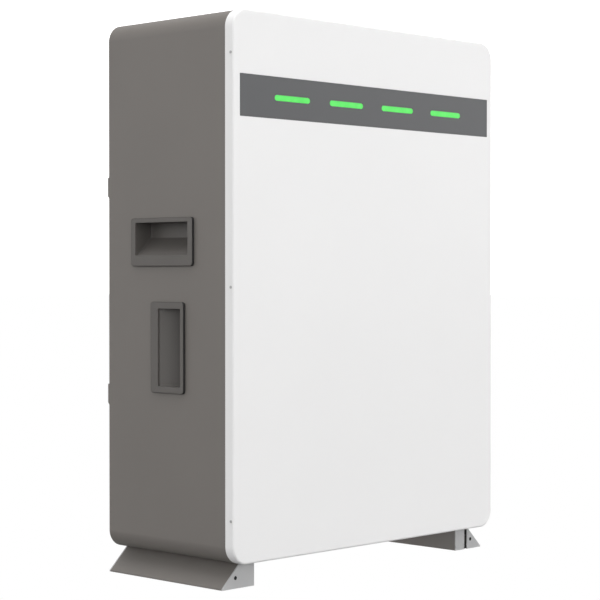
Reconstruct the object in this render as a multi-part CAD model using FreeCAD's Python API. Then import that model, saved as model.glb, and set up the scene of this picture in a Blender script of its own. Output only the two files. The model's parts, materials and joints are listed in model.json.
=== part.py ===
import FreeCAD, Part
import math
import os

# Wall battery unit: a steel cabinet on two folded feet, with a white front cover, four grip cups,
# rear wall hooks, a connection bay on its right side and a sixteen-cell lithium pack inside.
# Millimetres. +X is the cabinet's right seen from the front, -Y its front, +Z up.
# The origin is the centre of the bounding box in X and Y, at the bottom of the feet.

# ---- Driving dimensions -------------------------------------------------------------------

# Cabinet
case_width = 600.0
case_height = 805.0
case_depth = 276.0
corner_radius = 27.0
case_sheet = 1.5
rear_sheet = 2.0

# Front cover and the frame that carries it
cover_sheet = 1.2
cover_flange = 17.2
cover_edge_radius = 3.0
seam_gap = 0.4
frame_sheet = 2.0
frame_tip_setback = 3.2
frame_ledge_setback = 10.0
frame_ledge_width = 24.0
frame_lap = 14.0
cover_gasket_offset = 9.0
cover_gasket_width = 10.0
cover_screw_setback = 5.2
cover_screw_end_distance = 64.5
cover_screw_radius = 1.25
cover_screw_head_radius = 2.1
cover_screw_head_height = 0.9
cover_nut_radius = 2.6
cover_nut = 2.0

# Status window and its light bars
window_inset = 13.3
window_height = 61.7
window_bottom = 649.7
window_back_flange = 2.0
window_flange_margin = 5.0
light_count = 4
light_pitch = 118.6
light_length = 75.0
light_height = 8.5
light_drop = 30.8
light_depth = 7.0
light_lip = 1.5
led_board_length = 480.0
led_board_height = 34.0
led_board_thickness = 1.6
led_board_setback = 8.6
led_boss_pitch = 118.6
led_boss_radius = 3.0

# Grip cups
grip_end_rim = 9.85
grip_low_rim = 16.1
grip_high_rim = 6.6
grip_corner_radius = 5.0
grip_plate = 1.7
grip_gasket = 2.8
grip_wall = 2.5
grip_mouth_length = 116.5
grip_mouth_height = 49.5
grip_depth = 28.5
grip_step = 4.0
grip_slope_run = 26.7
grip_cut_clearance = 0.5
grip_stud_radius = 1.5
grip_stud_hole_radius = 1.7
grip_stud_side_inset = 3.2
grip_stud_side_height = 12.0
grip_stud_low_inset = 6.6
grip_stud_low_from_end = 23.1
grip_stud_length = 8.6
flat_grip_from_front = 151.0
flat_grip_height = 469.4
upright_grip_from_front = 138.5
upright_grip_height = 311.7

# Feet
foot_height = 38.0
foot_width = 65.0
foot_slope_width = 37.0
foot_edge = 2.0
foot_setback = 23.6
foot_sheet = 2.0
foot_outer_return = 20.0
foot_inner_return = 16.0
foot_slit_start = 35.4
foot_slit_end = 42.3
foot_screw_from_edge = 26.7
foot_screw_height = 15.6
foot_screw_head_radius = 3.0
foot_screw_radius = 1.6
foot_block_depth = 10.0
foot_bolt_from_edge = 50.0
foot_bolt_from_end = 45.0

# Wall hooks
hook_reach = 20.0
hook_sheet = 3.0
hook_height = 43.0
hook_base_width = 36.0
hook_inset = 14.5
hook_slot_start = 5.0
hook_slot_width = 7.0
hook_slot_depth = 22.0
hook_taper = 14.0
hook_tip = 4.0
hook_centres = [229.3, 549.7]
hook_screw_offset = 20.0
hook_screw_spacing = 24.0

# Metric hardware
m6_radius = 3.0
m6_hole_radius = 3.3
m6_flats = 10.0
m6_nut = 5.0
m6_head = 4.0
m3_flats = 5.5
m3_nut = 2.4
thread_clearance = 0.05

# Cell pack
cell_width = 174.0
cell_thickness = 71.5
cell_length = 200.0
cells_per_column = 8
column_gap = 10.0
cell_rear_gap = 6.0
spacer_thickness = 1.5
pad_radius = 8.0
pad_height = 3.0
stud_length = 12.0
terminal_offset = 61.5
pack_plate = 8.0
pack_plate_overhang = 12.0
pack_plate_setback = 2.0
rail_height = 20.0
rail_width = 30.0
rail_wall = 2.0
rail_x = 120.0
bracket_inset = 45.0
carrier_sheet = 2.5
carrier_hole_clearance = 0.5
busbar_width = 20.0
busbar_sheet = 2.0
sense_board_width = 34.0
sense_boss_height = 3.0
board_sheet = 1.6

# Battery management unit
bms_width = 300.0
bms_height = 110.0
bms_lift = 55.0
bms_plate = 4.0
fin_height = 10.0
fin_sheet = 2.0
fin_count = 16
bms_spacer = 12.0
bms_board_gap = 6.0
bms_post_x = 110.0

# Fuse
fuse_x = 80.0
fuse_front_y = -40.0
fuse_length = 80.0
fuse_base = 12.0
fuse_radius = 10.0

# Connection bay on the right side
bay_width = 150.0
bay_height = 200.0
bay_depth = 38.0
bay_sheet = 2.0
bay_lip = 10.0
bay_height_centre = 642.0
bay_corner_radius = 5.0
fitting_clearance = 0.2
breaker_y = 35.0
breaker_lift = 50.0
breaker_width = 54.0
breaker_height = 84.0
breaker_depth = 50.0
nose_height = 45.0
nose_reach = 14.0
toggle_hub_radius = 7.0
toggle_clearance = 0.3
toggle_width = 20.0
toggle_reach = 20.0
toggle_sheet = 5.0
toggle_rest_angle = -35.0
toggle_hub_setback = 4.0
flap_width = 60.0
flap_height = 78.0
flap_sheet = 2.5
flap_setback = 1.5
flap_pin_radius = 1.5
flap_barrel_radius = 3.0
flap_pin_clearance = 0.05
flap_pin_fit = 0.01
flap_ear = 5.0
flap_ear_gap = 0.4
flap_ear_width = 8.0
flap_drop = 8.0
power_button_y = -38.0
power_button_lift = 66.0
power_button_radius = 6.0
power_button_travel = 2.0
reset_button_y = -38.0
reset_button_lift = 38.0
reset_button_radius = 2.0
reset_button_travel = 1.0
button_clearance = 0.3
port_y = [-58.0, -38.0, -18.0]
port_lift = 8.0
port_width = 16.0
port_height = 14.0
port_length = 18.0
port_mouth_width = 11.8
port_mouth_height = 8.0
port_mouth_depth = 12.0
terminal_y = [-55.0, -19.0, 19.0, 55.0]
terminal_drop = 62.0
terminal_size = 30.0
terminal_reach = 22.0
terminal_recess_radius = 12.0
terminal_recess = 8.0
insert_radius = 8.0
insert_thread_radius = 3.4
insert_thread_length = 14.0
insert_tail = 14.0
earth_stud_y = 48.0
earth_stud_lift = -22.0
earth_stud_reach = 14.0
vent_y = 5.0
vent_lift = -22.0
vent_radius = 7.0
vent_neck_radius = 5.8

# Wiring
power_cable_diameter = 10.0
lug_clearance = 0.05
signal_cable_diameter = 5.0
lug_width = 16.0
lug_sheet = 2.0
lug_barrel_length = 18.0

# ---- Places worked out from the driving dimensions -------------------------------------------

V = FreeCAD.Vector
X = V(1, 0, 0)
Y = V(0, 1, 0)
Z = V(0, 0, 1)

side_x = case_width / 2
grip_length = grip_mouth_length + 2 * grip_end_rim
grip_height = grip_mouth_height + grip_low_rim + grip_high_rim
grip_mouth_low = grip_low_rim - grip_height / 2
grip_mouth_high = grip_height / 2 - grip_high_rim
grip_slope_end = grip_mouth_low + grip_slope_run
grip_stud_side = grip_length / 2 - grip_stud_side_inset
grip_stud_low = grip_length / 2 - grip_stud_low_from_end
grip_stud_low_height = grip_stud_low_inset - grip_height / 2
front_y = -(case_depth + hook_reach) / 2
rear_y = front_y + case_depth
base_z = foot_height
top_z = base_z + case_height
middle_z = base_z + case_height / 2
case_front_y = front_y + cover_flange + seam_gap
inner_rear_y = rear_y - rear_sheet
floor_z = base_z + case_sheet
inner_x = side_x - case_sheet

cell_rear_y = inner_rear_y - cell_rear_gap
cell_front_y = cell_rear_y - cell_length
pack_floor_z = floor_z + rail_height
first_cell_z = pack_floor_z + pack_plate + spacer_thickness
cell_pitch = cell_thickness + spacer_thickness
pack_ceiling_z = first_cell_z + cells_per_column * cell_pitch
pack_top_z = pack_ceiling_z + pack_plate
column_x = (column_gap + cell_width) / 2
pack_half_width = column_gap / 2 + cell_width + pack_plate_overhang
pad_front_y = cell_front_y - pad_height
busbar_front_y = pad_front_y - busbar_sheet

bay_back_x = side_x - bay_depth
bay_z = base_z + bay_height_centre
breaker_z = bay_z + breaker_lift
nose_front_x = bay_back_x + nose_reach
toggle_x = nose_front_x - toggle_hub_setback
breaker_rear_x = bay_back_x - bay_sheet - breaker_depth
flap_pin_z = bay_z + bay_height / 2 - flap_drop
flap_front_x = side_x - flap_setback
flap_pin_x = flap_front_x - flap_barrel_radius
terminal_z = bay_z - terminal_drop


# ---- Shape helpers ------------------------------------------------------------------------------

def box(low, high):
    """Box between two opposite corners."""
    return Part.makeBox(high[0] - low[0], high[1] - low[1], high[2] - low[2], V(*low))


def rod(start, direction, radius, length):
    """Round bar from start along direction."""
    return Part.makeCylinder(radius, length, start, direction)


def prism(points, travel):
    """Closed outline pulled along travel."""
    outline = Part.makePolygon(points + [points[0]])
    return Part.Face(outline).extrude(travel)


def rounded_slab(centre, u, v, width, height, radius, travel):
    """Rectangle with round corners in the plane of u and v, pulled along travel."""
    points = []
    for turn, (sign_u, sign_v) in enumerate([(1, 1), (-1, 1), (-1, -1), (1, -1)]):
        for step in (0, 45, 90):
            angle = math.radians(90 * turn + step)
            across = sign_u * (width / 2 - radius) + radius * math.cos(angle)
            up = sign_v * (height / 2 - radius) + radius * math.sin(angle)
            points.append(centre + u * across + v * up)
    edges = []
    for turn in range(4):
        start, middle, end = points[3 * turn:3 * turn + 3]
        edges.append(Part.Arc(start, middle, end).toShape())
        edges.append(Part.LineSegment(end, points[(3 * turn + 3) % 12]).toShape())
    return Part.Face(Part.Wire(edges)).extrude(travel)


def cabinet_slab(inset, start_y, end_y):
    """The cabinet's front outline, drawn in by inset, between two depths."""
    return rounded_slab(V(0, start_y, middle_z), X, Z, case_width - 2 * inset, case_height - 2 * inset,
                        corner_radius - inset, V(0, end_y - start_y, 0))


def across(direction):
    """A unit vector square to direction."""
    return X if abs(direction.z) > 0.5 else Z


def hexagon(start, direction, flats, length):
    """Six-sided bar from start along direction."""
    u = across(direction)
    v = direction.cross(u)
    reach = flats / math.sqrt(3)
    points = []
    for corner in range(6):
        angle = math.radians(60 * corner)
        points.append(start + u * (reach * math.cos(angle)) + v * (reach * math.sin(angle)))
    return prism(points, direction * length)


def nut(start, direction, flats, thickness, bore):
    """Hexagon nut whose bore clears its thread by the thread clearance."""
    body = hexagon(start, direction, flats, thickness)
    return body.cut(rod(start, direction, bore + thread_clearance, thickness))


def screw(seat, direction, radius, length, head_radius, head_height):
    """Round-head screw: the shank runs from its seat along direction, with a hexagon socket."""
    shank = rod(seat, direction, radius, length)
    head = rod(seat, direction * -1, head_radius, head_height)
    socket = hexagon(seat - direction * head_height, direction, head_radius * 0.9, head_height * 0.6)
    return shank.fuse(head).removeSplitter().cut(socket)


def bolt(seat, direction, radius, length, flats, head_height):
    """Hexagon-head bolt: the shank runs from its seat along direction."""
    shank = rod(seat, direction, radius, length)
    return shank.fuse(hexagon(seat - direction * head_height, direction, flats, head_height))


def turned(shape, origin, u, v):
    """A copy with its own X along u, its Y along v and its origin at origin."""
    w = u.cross(v)
    matrix = FreeCAD.Matrix(u.x, v.x, w.x, origin.x, u.y, v.y, w.y, origin.y,
                            u.z, v.z, w.z, origin.z, 0, 0, 0, 1)
    placed = shape.copy()
    placed.Placement = FreeCAD.Placement(matrix)
    return placed


def cord(points, diameter):
    """Round cord along straight runs joined by tangent arcs."""
    edges = []
    here = points[0]
    for before, corner, after in zip(points, points[1:], points[2:]):
        back = before - corner
        ahead = after - corner
        tangent = 0.45 * min(back.Length, ahead.Length)
        radius = tangent / math.tan((math.pi - back.getAngle(ahead)) / 2)
        print("bend radius", round(radius, 1))
        back.normalize()
        ahead.normalize()
        inward = back + ahead
        inward.normalize()
        start = corner + back * tangent
        end = corner + ahead * tangent
        middle = corner + inward * (math.hypot(radius, tangent) - radius)
        edges.append(Part.LineSegment(here, start).toShape())
        edges.append(Part.Arc(start, middle, end).toShape())
        here = end
    edges.append(Part.LineSegment(here, points[-1]).toShape())
    section = Part.Wire(Part.makeCircle(diameter / 2, points[0], points[1] - points[0]))
    return Part.Wire(edges).makePipeShell([section], True, False)


def save(node, pieces):
    """Write one sub-part, checking that each piece is a closed valid solid."""
    solids = []
    for piece in pieces:
        solids.extend(piece.Solids)
    for solid in solids:
        if not solid.isValid() or not solid.isClosed() or solid.Volume <= 0:
            raise ValueError(node + " holds a solid that isn't closed and valid")
    shape = solids[0] if len(solids) == 1 else Part.makeCompound(solids)
    shape.exportStep("parts/" + node + ".step")
    print(node, len(solids), round(sum(solid.Volume for solid in solids)))


# ---- Grip cups ------------------------------------------------------------------------------------

def grip_sites():
    """Name, origin, and own X and Y directions of each grip cup; its own Z points out of the side."""
    sites = []
    for side, sign in (("left", -1), ("right", 1)):
        flat = V(sign * side_x, front_y + flat_grip_from_front, base_z + flat_grip_height)
        upright = V(sign * side_x, front_y + upright_grip_from_front, base_z + upright_grip_height)
        outward = X * sign
        sites.append((side + "_flat", flat, Z.cross(outward), Z))
        sites.append((side + "_upright", upright, (Y * -1).cross(outward), Y * -1))
    return sites


def grip_stud_places():
    """Centres of the cup's fixing studs in its own plane."""
    return [(-grip_stud_side, grip_stud_side_height), (grip_stud_side, grip_stud_side_height),
            (-grip_stud_low, grip_stud_low_height), (grip_stud_low, grip_stud_low_height)]


def grip_profile(start_x, points, length):
    """Cup section in its own Y and Z, pulled along its own X."""
    return prism([V(start_x, y, z) for y, z in points], X * length)


def grip_cut():
    """Hole that the cup's body needs in the cabinet's side."""
    half = grip_mouth_length / 2 + grip_wall + grip_cut_clearance
    margin = grip_wall + grip_cut_clearance
    return box((-half, grip_mouth_low - margin, -case_sheet * 2),
               (half, grip_mouth_high + margin, case_sheet * 2))


def grip_plate_slab(low_z, thickness):
    """The bezel's outline at one height."""
    return rounded_slab(V(0, 0, low_z), X, Y, grip_length, grip_height, grip_corner_radius,
                        Z * thickness)


def grip_cup():
    """Moulded cup with a sloped floor, a bezel and four studs."""
    face_z = grip_gasket + grip_plate
    step_z = face_z - grip_step
    slope_run = grip_slope_run
    slope_fall = step_z + grip_depth
    slope_length = math.hypot(slope_run, slope_fall)
    wall_shift = grip_wall * slope_length / slope_fall
    outer_start = grip_mouth_low - grip_wall
    outer_start_z = step_z - (outer_start - grip_mouth_low + wall_shift) * slope_fall / slope_run
    outer_end = grip_slope_end - wall_shift + grip_wall * slope_run / slope_fall
    outside = [(outer_start, face_z), (outer_start, outer_start_z),
               (outer_end, -grip_depth - grip_wall),
               (grip_mouth_high + grip_wall, -grip_depth - grip_wall),
               (grip_mouth_high + grip_wall, face_z)]
    hollow = [(grip_mouth_low, face_z + 1), (grip_mouth_low, step_z),
              (grip_slope_end, -grip_depth), (grip_mouth_high, -grip_depth),
              (grip_mouth_high, face_z + 1)]
    outer_length = grip_mouth_length + 2 * grip_wall
    plate = grip_plate_slab(grip_gasket, grip_plate)
    rim = [edge for edge in plate.Edges if edge.BoundBox.ZMin > face_z - 0.01]
    plate = plate.makeFillet(0.8, rim)
    body = plate.fuse(grip_profile(-outer_length / 2, outside, outer_length))
    for x, y in grip_stud_places():
        body = body.fuse(rod(V(x, y, grip_gasket), Z * -1, grip_stud_radius, grip_stud_length))
    body = body.cut(grip_profile(-grip_mouth_length / 2, hollow, grip_mouth_length))
    return body.removeSplitter()


def grip_seal():
    """Rubber ring between the bezel and the cabinet's side."""
    ring = grip_plate_slab(0, grip_gasket)
    half = grip_mouth_length / 2 + grip_wall + grip_cut_clearance
    margin = grip_wall + grip_cut_clearance
    ring = ring.cut(box((-half, grip_mouth_low - margin, -1),
                        (half, grip_mouth_high + margin, grip_gasket + 1)))
    for x, y in grip_stud_places():
        ring = ring.cut(rod(V(x, y, 0), Z, grip_stud_hole_radius, grip_gasket))
    return ring


def grip_nuts():
    """Nuts on the cup's studs, inside the cabinet's side."""
    nuts = []
    for x, y in grip_stud_places():
        nuts.append(nut(V(x, y, -case_sheet), Z * -1, m3_flats, m3_nut, grip_stud_radius))
    return nuts


def grip_side_holes():
    """Everything that one cup cuts out of the cabinet's side."""
    holes = [grip_cut()]
    for x, y in grip_stud_places():
        holes.append(rod(V(x, y, -2 * case_sheet), Z, grip_stud_hole_radius, 4 * case_sheet))
    return holes


# ---- Cabinet ----------------------------------------------------------------------------------------

def cover_screw_places():
    """Height of each cover screw and the side that it is on."""
    heights = [base_z + cover_screw_end_distance, middle_z, top_z - cover_screw_end_distance]
    return [(sign, height) for sign in (-1, 1) for height in heights]


def cover_screw_hole(sign, height, radius):
    """Bore across the cover's flange and the frame for one cover screw."""
    start = V(sign * (side_x + 1), front_y + cover_screw_setback, height)
    return rod(start, X * -sign, radius, cover_sheet + frame_sheet + case_sheet + 2)


def foot_bolt_places():
    """Centres of the bolts that hold the feet to the cabinet's floor."""
    near = front_y + foot_setback + foot_bolt_from_end
    far = rear_y - foot_bolt_from_end
    return [(sign * (side_x - foot_bolt_from_edge), y) for sign in (-1, 1) for y in (near, far)]


def bay_slab(start_x, end_x, growth, radius):
    """The connection bay's outline, grown by growth, between two X places."""
    return rounded_slab(V(start_x, 0, bay_z), Y, Z, bay_width + 2 * growth, bay_height + 2 * growth,
                        radius, V(end_x - start_x, 0, 0))


def bay_screw_places():
    """Centres of the screws at the corners of the bay's lip."""
    half_y = bay_width / 2 + bay_lip / 2 + 1
    half_z = bay_height / 2 + bay_lip / 2 + 1
    return [(y, bay_z + z) for y in (-half_y, half_y) for z in (-half_z, 0, half_z)]


def case_shell():
    """Wrapped steel sides, top and floor, with every hole that is cut in them."""
    shell = cabinet_slab(0, case_front_y, rear_y)
    shell = shell.cut(cabinet_slab(case_sheet, case_front_y - 1, rear_y + 1))
    holes = []
    for name, origin, u, v in grip_sites():
        holes.extend(turned(hole, origin, u, v) for hole in grip_side_holes())
    for x, y in foot_bolt_places():
        holes.append(rod(V(x, y, base_z - 1), Z, m6_hole_radius, case_sheet + 2))
    holes.append(bay_slab(side_x - 2 * case_sheet, side_x + 1, bay_sheet + 0.5, bay_corner_radius))
    for y, z in bay_screw_places():
        holes.append(rod(V(side_x + 1, y, z), X * -1, grip_stud_hole_radius, case_sheet + 2))
    return shell.cut(holes)


def hook_sites():
    """Side and middle height of each wall hook."""
    return [(side, sign, name, base_z + centre)
            for side, sign in (("left", -1), ("right", 1))
            for name, centre in zip(("lower", "upper"), hook_centres)]


def hook_screw_places(sign, centre_z):
    """Centres of one hook's two screws."""
    x = sign * (side_x - hook_inset - hook_sheet - hook_screw_offset)
    return [(x, centre_z + offset) for offset in (-hook_screw_spacing / 2, hook_screw_spacing / 2)]


def rear_panel():
    """Flat steel back, welded inside the wrap, bored for the hook screws."""
    panel = cabinet_slab(case_sheet, inner_rear_y, rear_y)
    holes = []
    for side, sign, name, centre_z in hook_sites():
        for x, z in hook_screw_places(sign, centre_z):
            holes.append(rod(V(x, inner_rear_y - 1, z), Y, m6_hole_radius, rear_sheet + 2))
    return panel.cut(holes)


def front_frame():
    """Welded ring that laps inside the wrap and carries the cover and its gasket."""
    web_outer = case_sheet
    web_inner = case_sheet + frame_sheet
    start_y = front_y + frame_tip_setback
    end_y = case_front_y + frame_lap
    ledge_y = front_y + frame_ledge_setback
    web = cabinet_slab(web_outer, start_y, end_y).cut(cabinet_slab(web_inner, start_y - 1, end_y + 1))
    ledge = cabinet_slab(web_inner, ledge_y, ledge_y + frame_sheet)
    ledge = ledge.cut(cabinet_slab(frame_ledge_width, ledge_y - 1, ledge_y + frame_sheet + 1))
    frame = web.fuse(ledge).removeSplitter()
    return frame.cut([cover_screw_hole(sign, z, cover_screw_radius + 0.2)
                      for sign, z in cover_screw_places()])


def window_box(margin, start_y, end_y):
    """The status window's rectangle, grown by margin, between two depths."""
    half = side_x - window_inset + margin
    low_z = base_z + window_bottom - margin
    high_z = base_z + window_bottom + window_height + margin
    return box((-half, start_y, low_z), (half, end_y, high_z))


def front_cover():
    """Folded white cover with a rounded front edge and a cut-out for the status window."""
    outside = cabinet_slab(0, front_y, front_y + cover_flange)
    front_edges = [edge for edge in outside.Edges if edge.BoundBox.YMax < front_y + 0.01]
    outside = outside.makeFillet(cover_edge_radius, front_edges)
    inside = cabinet_slab(cover_sheet, front_y + cover_sheet, front_y + cover_flange + 1)
    inner_edges = [edge for edge in inside.Edges if edge.BoundBox.YMax < front_y + cover_sheet + 0.01]
    inside = inside.makeFillet(cover_edge_radius - cover_sheet, inner_edges)
    cover = outside.cut(inside).cut(window_box(0.1, front_y - 1, front_y + cover_sheet + 1))
    return cover.cut([cover_screw_hole(sign, z, cover_screw_radius + 0.2)
                      for sign, z in cover_screw_places()])


def cover_gasket():
    """Foam ring squeezed between the cover and the frame's ledge, notched by the window's flange."""
    start_y = front_y + cover_sheet
    end_y = front_y + frame_ledge_setback
    outer = case_sheet + cover_gasket_offset
    ring = cabinet_slab(outer, start_y, end_y)
    ring = ring.cut(cabinet_slab(outer + cover_gasket_width, start_y - 1, end_y + 1))
    return ring.cut(window_box(window_flange_margin, start_y - 1, start_y + window_back_flange))


def cover_screws():
    """Small screws through the cover's flange."""
    screws = []
    for sign, z in cover_screw_places():
        seat = V(sign * side_x, front_y + cover_screw_setback, z)
        length = case_sheet + frame_sheet + 3
        screws.append(screw(seat, X * -sign, cover_screw_radius, length, cover_screw_head_radius,
                            cover_screw_head_height))
    return screws


def cover_nuts():
    """Press nuts inside the frame for the cover screws."""
    nuts = []
    for sign, z in cover_screw_places():
        start = V(sign * (side_x - case_sheet - frame_sheet), front_y + cover_screw_setback, z)
        body = rod(start, X * -sign, cover_nut_radius, cover_nut)
        bore = rod(start, X * -sign, cover_screw_radius + thread_clearance, cover_nut)
        nuts.append(body.cut(bore))
    return nuts


# ---- Status window ------------------------------------------------------------------------------------

def light_centres():
    """X of each light bar."""
    return [(index - (light_count - 1) / 2) * light_pitch for index in range(light_count)]


def light_slab(x, growth, start_y, end_y):
    """Light bar outline with round ends, grown by growth, between two depths."""
    centre = V(x, start_y, base_z + window_bottom + light_drop)
    height = light_height + 2 * growth
    return rounded_slab(centre, X, Z, light_length + 2 * growth, height, height / 2 - 0.01,
                        V(0, end_y - start_y, 0))


def led_boss_places():
    """X and Z of the bosses that carry the light board."""
    z = base_z + window_bottom + light_drop
    count = light_count + 1
    return [((index - (count - 1) / 2) * led_boss_pitch, z) for index in range(count)][1:-1]


def window_strip():
    """Smoked panel flush with the cover, with a glued back flange and bosses for the light board."""
    back_y = front_y + cover_sheet
    flange_y = back_y + window_back_flange
    strip = window_box(0, front_y, back_y)
    strip = strip.fuse(window_box(window_flange_margin, back_y, flange_y))
    for x in light_centres():
        strip = strip.cut(light_slab(x, 0.1, front_y - 1, flange_y + 1))
    for x, z in led_boss_places():
        strip = strip.fuse(rod(V(x, flange_y, z), Y, led_boss_radius,
                               led_board_setback - cover_sheet - window_back_flange))
        strip = strip.cut(rod(V(x, flange_y + 1, z), Y, 1.25, led_board_setback))
    return strip.removeSplitter()


def light_bars():
    """Four green light guides, flush with the window, each with a lip behind it."""
    flange_y = front_y + cover_sheet + window_back_flange
    bars = []
    for x in light_centres():
        bar = light_slab(x, 0, front_y, front_y + light_depth)
        bar = bar.fuse(light_slab(x, light_lip, flange_y, flange_y + light_lip))
        bars.append(bar.removeSplitter())
    return bars


def led_board():
    """Circuit board with four rows of light chips behind the light bars."""
    start_y = front_y + led_board_setback
    z = base_z + window_bottom + light_drop
    board = box((-led_board_length / 2, start_y, z - led_board_height / 2),
                (led_board_length / 2, start_y + led_board_thickness, z + led_board_height / 2))
    for x in light_centres():
        for step in range(5):
            chip_x = x + (step - 2) * light_length / 6
            board = board.fuse(box((chip_x - 2.5, start_y - 1.2, z - 1.75),
                                   (chip_x + 2.5, start_y, z + 1.75)))
    board = board.fuse(box((-20, start_y + led_board_thickness, z - 14),
                           (20, start_y + led_board_thickness + 6, z - 7)))
    for x, boss_z in led_boss_places():
        board = board.cut(rod(V(x, start_y - 1, boss_z), Y, 1.5, led_board_thickness + 2))
    return board


def led_board_screws():
    """Screws that hold the light board to the window's bosses."""
    seat_y = front_y + led_board_setback + led_board_thickness
    return [screw(V(x, seat_y, z), Y * -1, 1.2, 5.5, 2.4, 1.6) for x, z in led_boss_places()]


# ---- Feet ---------------------------------------------------------------------------------------------

def foot_slope_height(from_edge):
    """Height of the sloped outer face at a distance from the cabinet's side plane."""
    return foot_edge + (foot_height - foot_edge) * from_edge / foot_slope_width


def foot_outline(y):
    """Outer section of the left foot at one depth."""
    return [V(-side_x, y, 0), V(-side_x, y, foot_edge),
            V(-side_x + foot_slope_width, y, foot_height), V(-side_x + foot_width, y, foot_height),
            V(-side_x + foot_width, y, 0)]


def foot_hollow(y):
    """Inner section of the left foot at one depth."""
    slope = (foot_height - foot_edge) / foot_slope_width
    shift = foot_sheet * math.hypot(1, slope) / slope
    low_x = -side_x + shift + (foot_sheet - foot_edge) / slope
    high_x = -side_x + shift + (foot_height - foot_sheet - foot_edge) / slope
    right_x = -side_x + foot_width - foot_sheet
    return [V(low_x, y, foot_sheet), V(high_x, y, foot_height - foot_sheet),
            V(right_x, y, foot_height - foot_sheet), V(right_x, y, foot_sheet)]


def foot_screw_start(y):
    """Point on the axis of the left foot's end screw at one depth."""
    return V(-side_x + foot_screw_from_edge, y, foot_screw_height)


def left_foot_channel():
    """Folded channel with a sloped outer face, open below between its two returns."""
    start = front_y + foot_setback + foot_sheet
    end = rear_y - foot_sheet
    channel = prism(foot_outline(start), Y * (end - start))
    hollow = prism(foot_hollow(start - 1), Y * (end - start + 2))
    channel = channel.cut(hollow)
    channel = channel.cut(box((-side_x + foot_outer_return, start - 1, -1),
                              (-side_x + foot_width - foot_inner_return, end + 1, foot_sheet + 0.5)))
    inner = prism(foot_hollow(start), Y * (end - start))
    for low_y in (start, end - foot_block_depth):
        corner = box((-side_x, low_y, 0),
                     (-side_x + foot_screw_from_edge + 6, low_y + foot_block_depth,
                      foot_screw_height + 6))
        floor = box((-side_x + foot_outer_return, low_y, 0),
                    (0, low_y + foot_block_depth, foot_screw_height - 6))
        channel = channel.fuse(inner.common(corner).cut(floor))
        channel = channel.cut(rod(foot_screw_start(low_y - 1), Y, foot_screw_radius + 0.05,
                                  foot_block_depth + 2))
    for x, y in foot_bolt_places()[:2]:
        channel = channel.cut(rod(V(x, y, foot_height - foot_sheet - 1), Z, m6_hole_radius,
                                  foot_sheet + 2))
    return channel.removeSplitter()


def left_foot_ends():
    """End plates of the left foot: a whole one in front, and one split by a slit behind."""
    front = front_y + foot_setback
    back = rear_y - foot_sheet
    whole = prism(foot_outline(front), Y * foot_sheet)
    split = prism(foot_outline(back), Y * foot_sheet)
    split = split.cut(box((-side_x + foot_slit_start, back - 1, -1),
                          (-side_x + foot_slit_end, back + foot_sheet + 1, foot_height + 1)))
    whole = whole.cut(foot_screw_seat(front, 1))
    split = split.cut(foot_screw_seat(rear_y, -1))
    return [whole, split]


def foot_screw_seat(face_y, inward):
    """Cone and bore that one end screw needs, starting at the plate's outer face."""
    start = foot_screw_start(face_y)
    cone = Part.makeCone(foot_screw_head_radius + 0.1, foot_screw_radius + 0.1, foot_sheet * 0.75,
                         start, Y * inward)
    return cone.fuse(rod(start, Y * inward, foot_screw_radius + 0.1, foot_sheet))


def left_foot_screws():
    """Black countersunk screws in the left foot's end plates."""
    screws = []
    for face_y, inward in ((front_y + foot_setback, 1), (rear_y, -1)):
        start = foot_screw_start(face_y) + Y * (inward * 0.1)
        head = Part.makeCone(foot_screw_head_radius, foot_screw_radius, foot_sheet * 0.7,
                             start, Y * inward)
        shank = rod(start, Y * inward, foot_screw_radius, foot_block_depth)
        socket = hexagon(start, Y * inward, foot_screw_head_radius * 0.9, 1.0)
        screws.append(head.fuse(shank).removeSplitter().cut(socket))
    return screws


def to_right_foot(shape):
    """The right foot is the left one turned half a turn about the vertical."""
    turned_shape = shape.copy()
    turned_shape.rotate(V(0, (front_y + foot_setback + rear_y) / 2, 0), Z, 180)
    return turned_shape


def foot_bolts():
    """Bolts up through the feet's top flanges and the cabinet's floor."""
    seat_z = foot_height - foot_sheet
    length = foot_sheet + case_sheet + m6_nut + 2
    return [bolt(V(x, y, seat_z), Z, m6_radius, length, m6_flats, m6_head)
            for x, y in foot_bolt_places()]


def foot_nuts():
    """Nuts on the foot bolts, on the cabinet's floor."""
    return [nut(V(x, y, floor_z), Z, m6_flats, m6_nut, m6_radius) for x, y in foot_bolt_places()]


# ---- Wall hooks ------------------------------------------------------------------------------------------

def wall_hook(sign, centre_z):
    """Folded hook: a base screwed to the back and a web with a slot that drops over a wall rail."""
    low_z = centre_z - hook_height / 2
    web_x = side_x - hook_inset - hook_sheet
    slot_end = hook_slot_start + hook_slot_width
    outline = [(0, 0), (hook_slot_start, 0), (hook_slot_start, hook_slot_depth),
               (slot_end, hook_slot_depth), (slot_end, hook_tip), (hook_reach, hook_taper),
               (hook_reach, hook_height), (0, hook_height)]
    web = prism([V(web_x, rear_y + y, low_z + z) for y, z in outline], X * hook_sheet)
    slot_top = rod(V(web_x - 1, rear_y + hook_slot_start + hook_slot_width / 2,
                     low_z + hook_slot_depth), X, hook_slot_width / 2, hook_sheet + 2)
    web = web.cut(slot_top)
    base = box((web_x - hook_base_width, rear_y, low_z),
               (web_x + hook_sheet, rear_y + hook_sheet, low_z + hook_height))
    hook = web.fuse(base).removeSplitter()
    if sign < 0:
        hook = hook.mirror(V(0, 0, 0), X)
    for x, z in hook_screw_places(sign, centre_z):
        hook = hook.cut(rod(V(x, rear_y - 1, z), Y, m6_hole_radius, hook_sheet + 2))
    return hook


def hook_screws():
    """Screws through the hooks' bases and the back."""
    screws = []
    for side, sign, name, centre_z in hook_sites():
        for x, z in hook_screw_places(sign, centre_z):
            seat = V(x, rear_y + hook_sheet, z)
            length = hook_sheet + rear_sheet + m6_nut + 1
            screws.append(screw(seat, Y * -1, m6_radius, length, 5.2, 3.3))
    return screws


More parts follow.
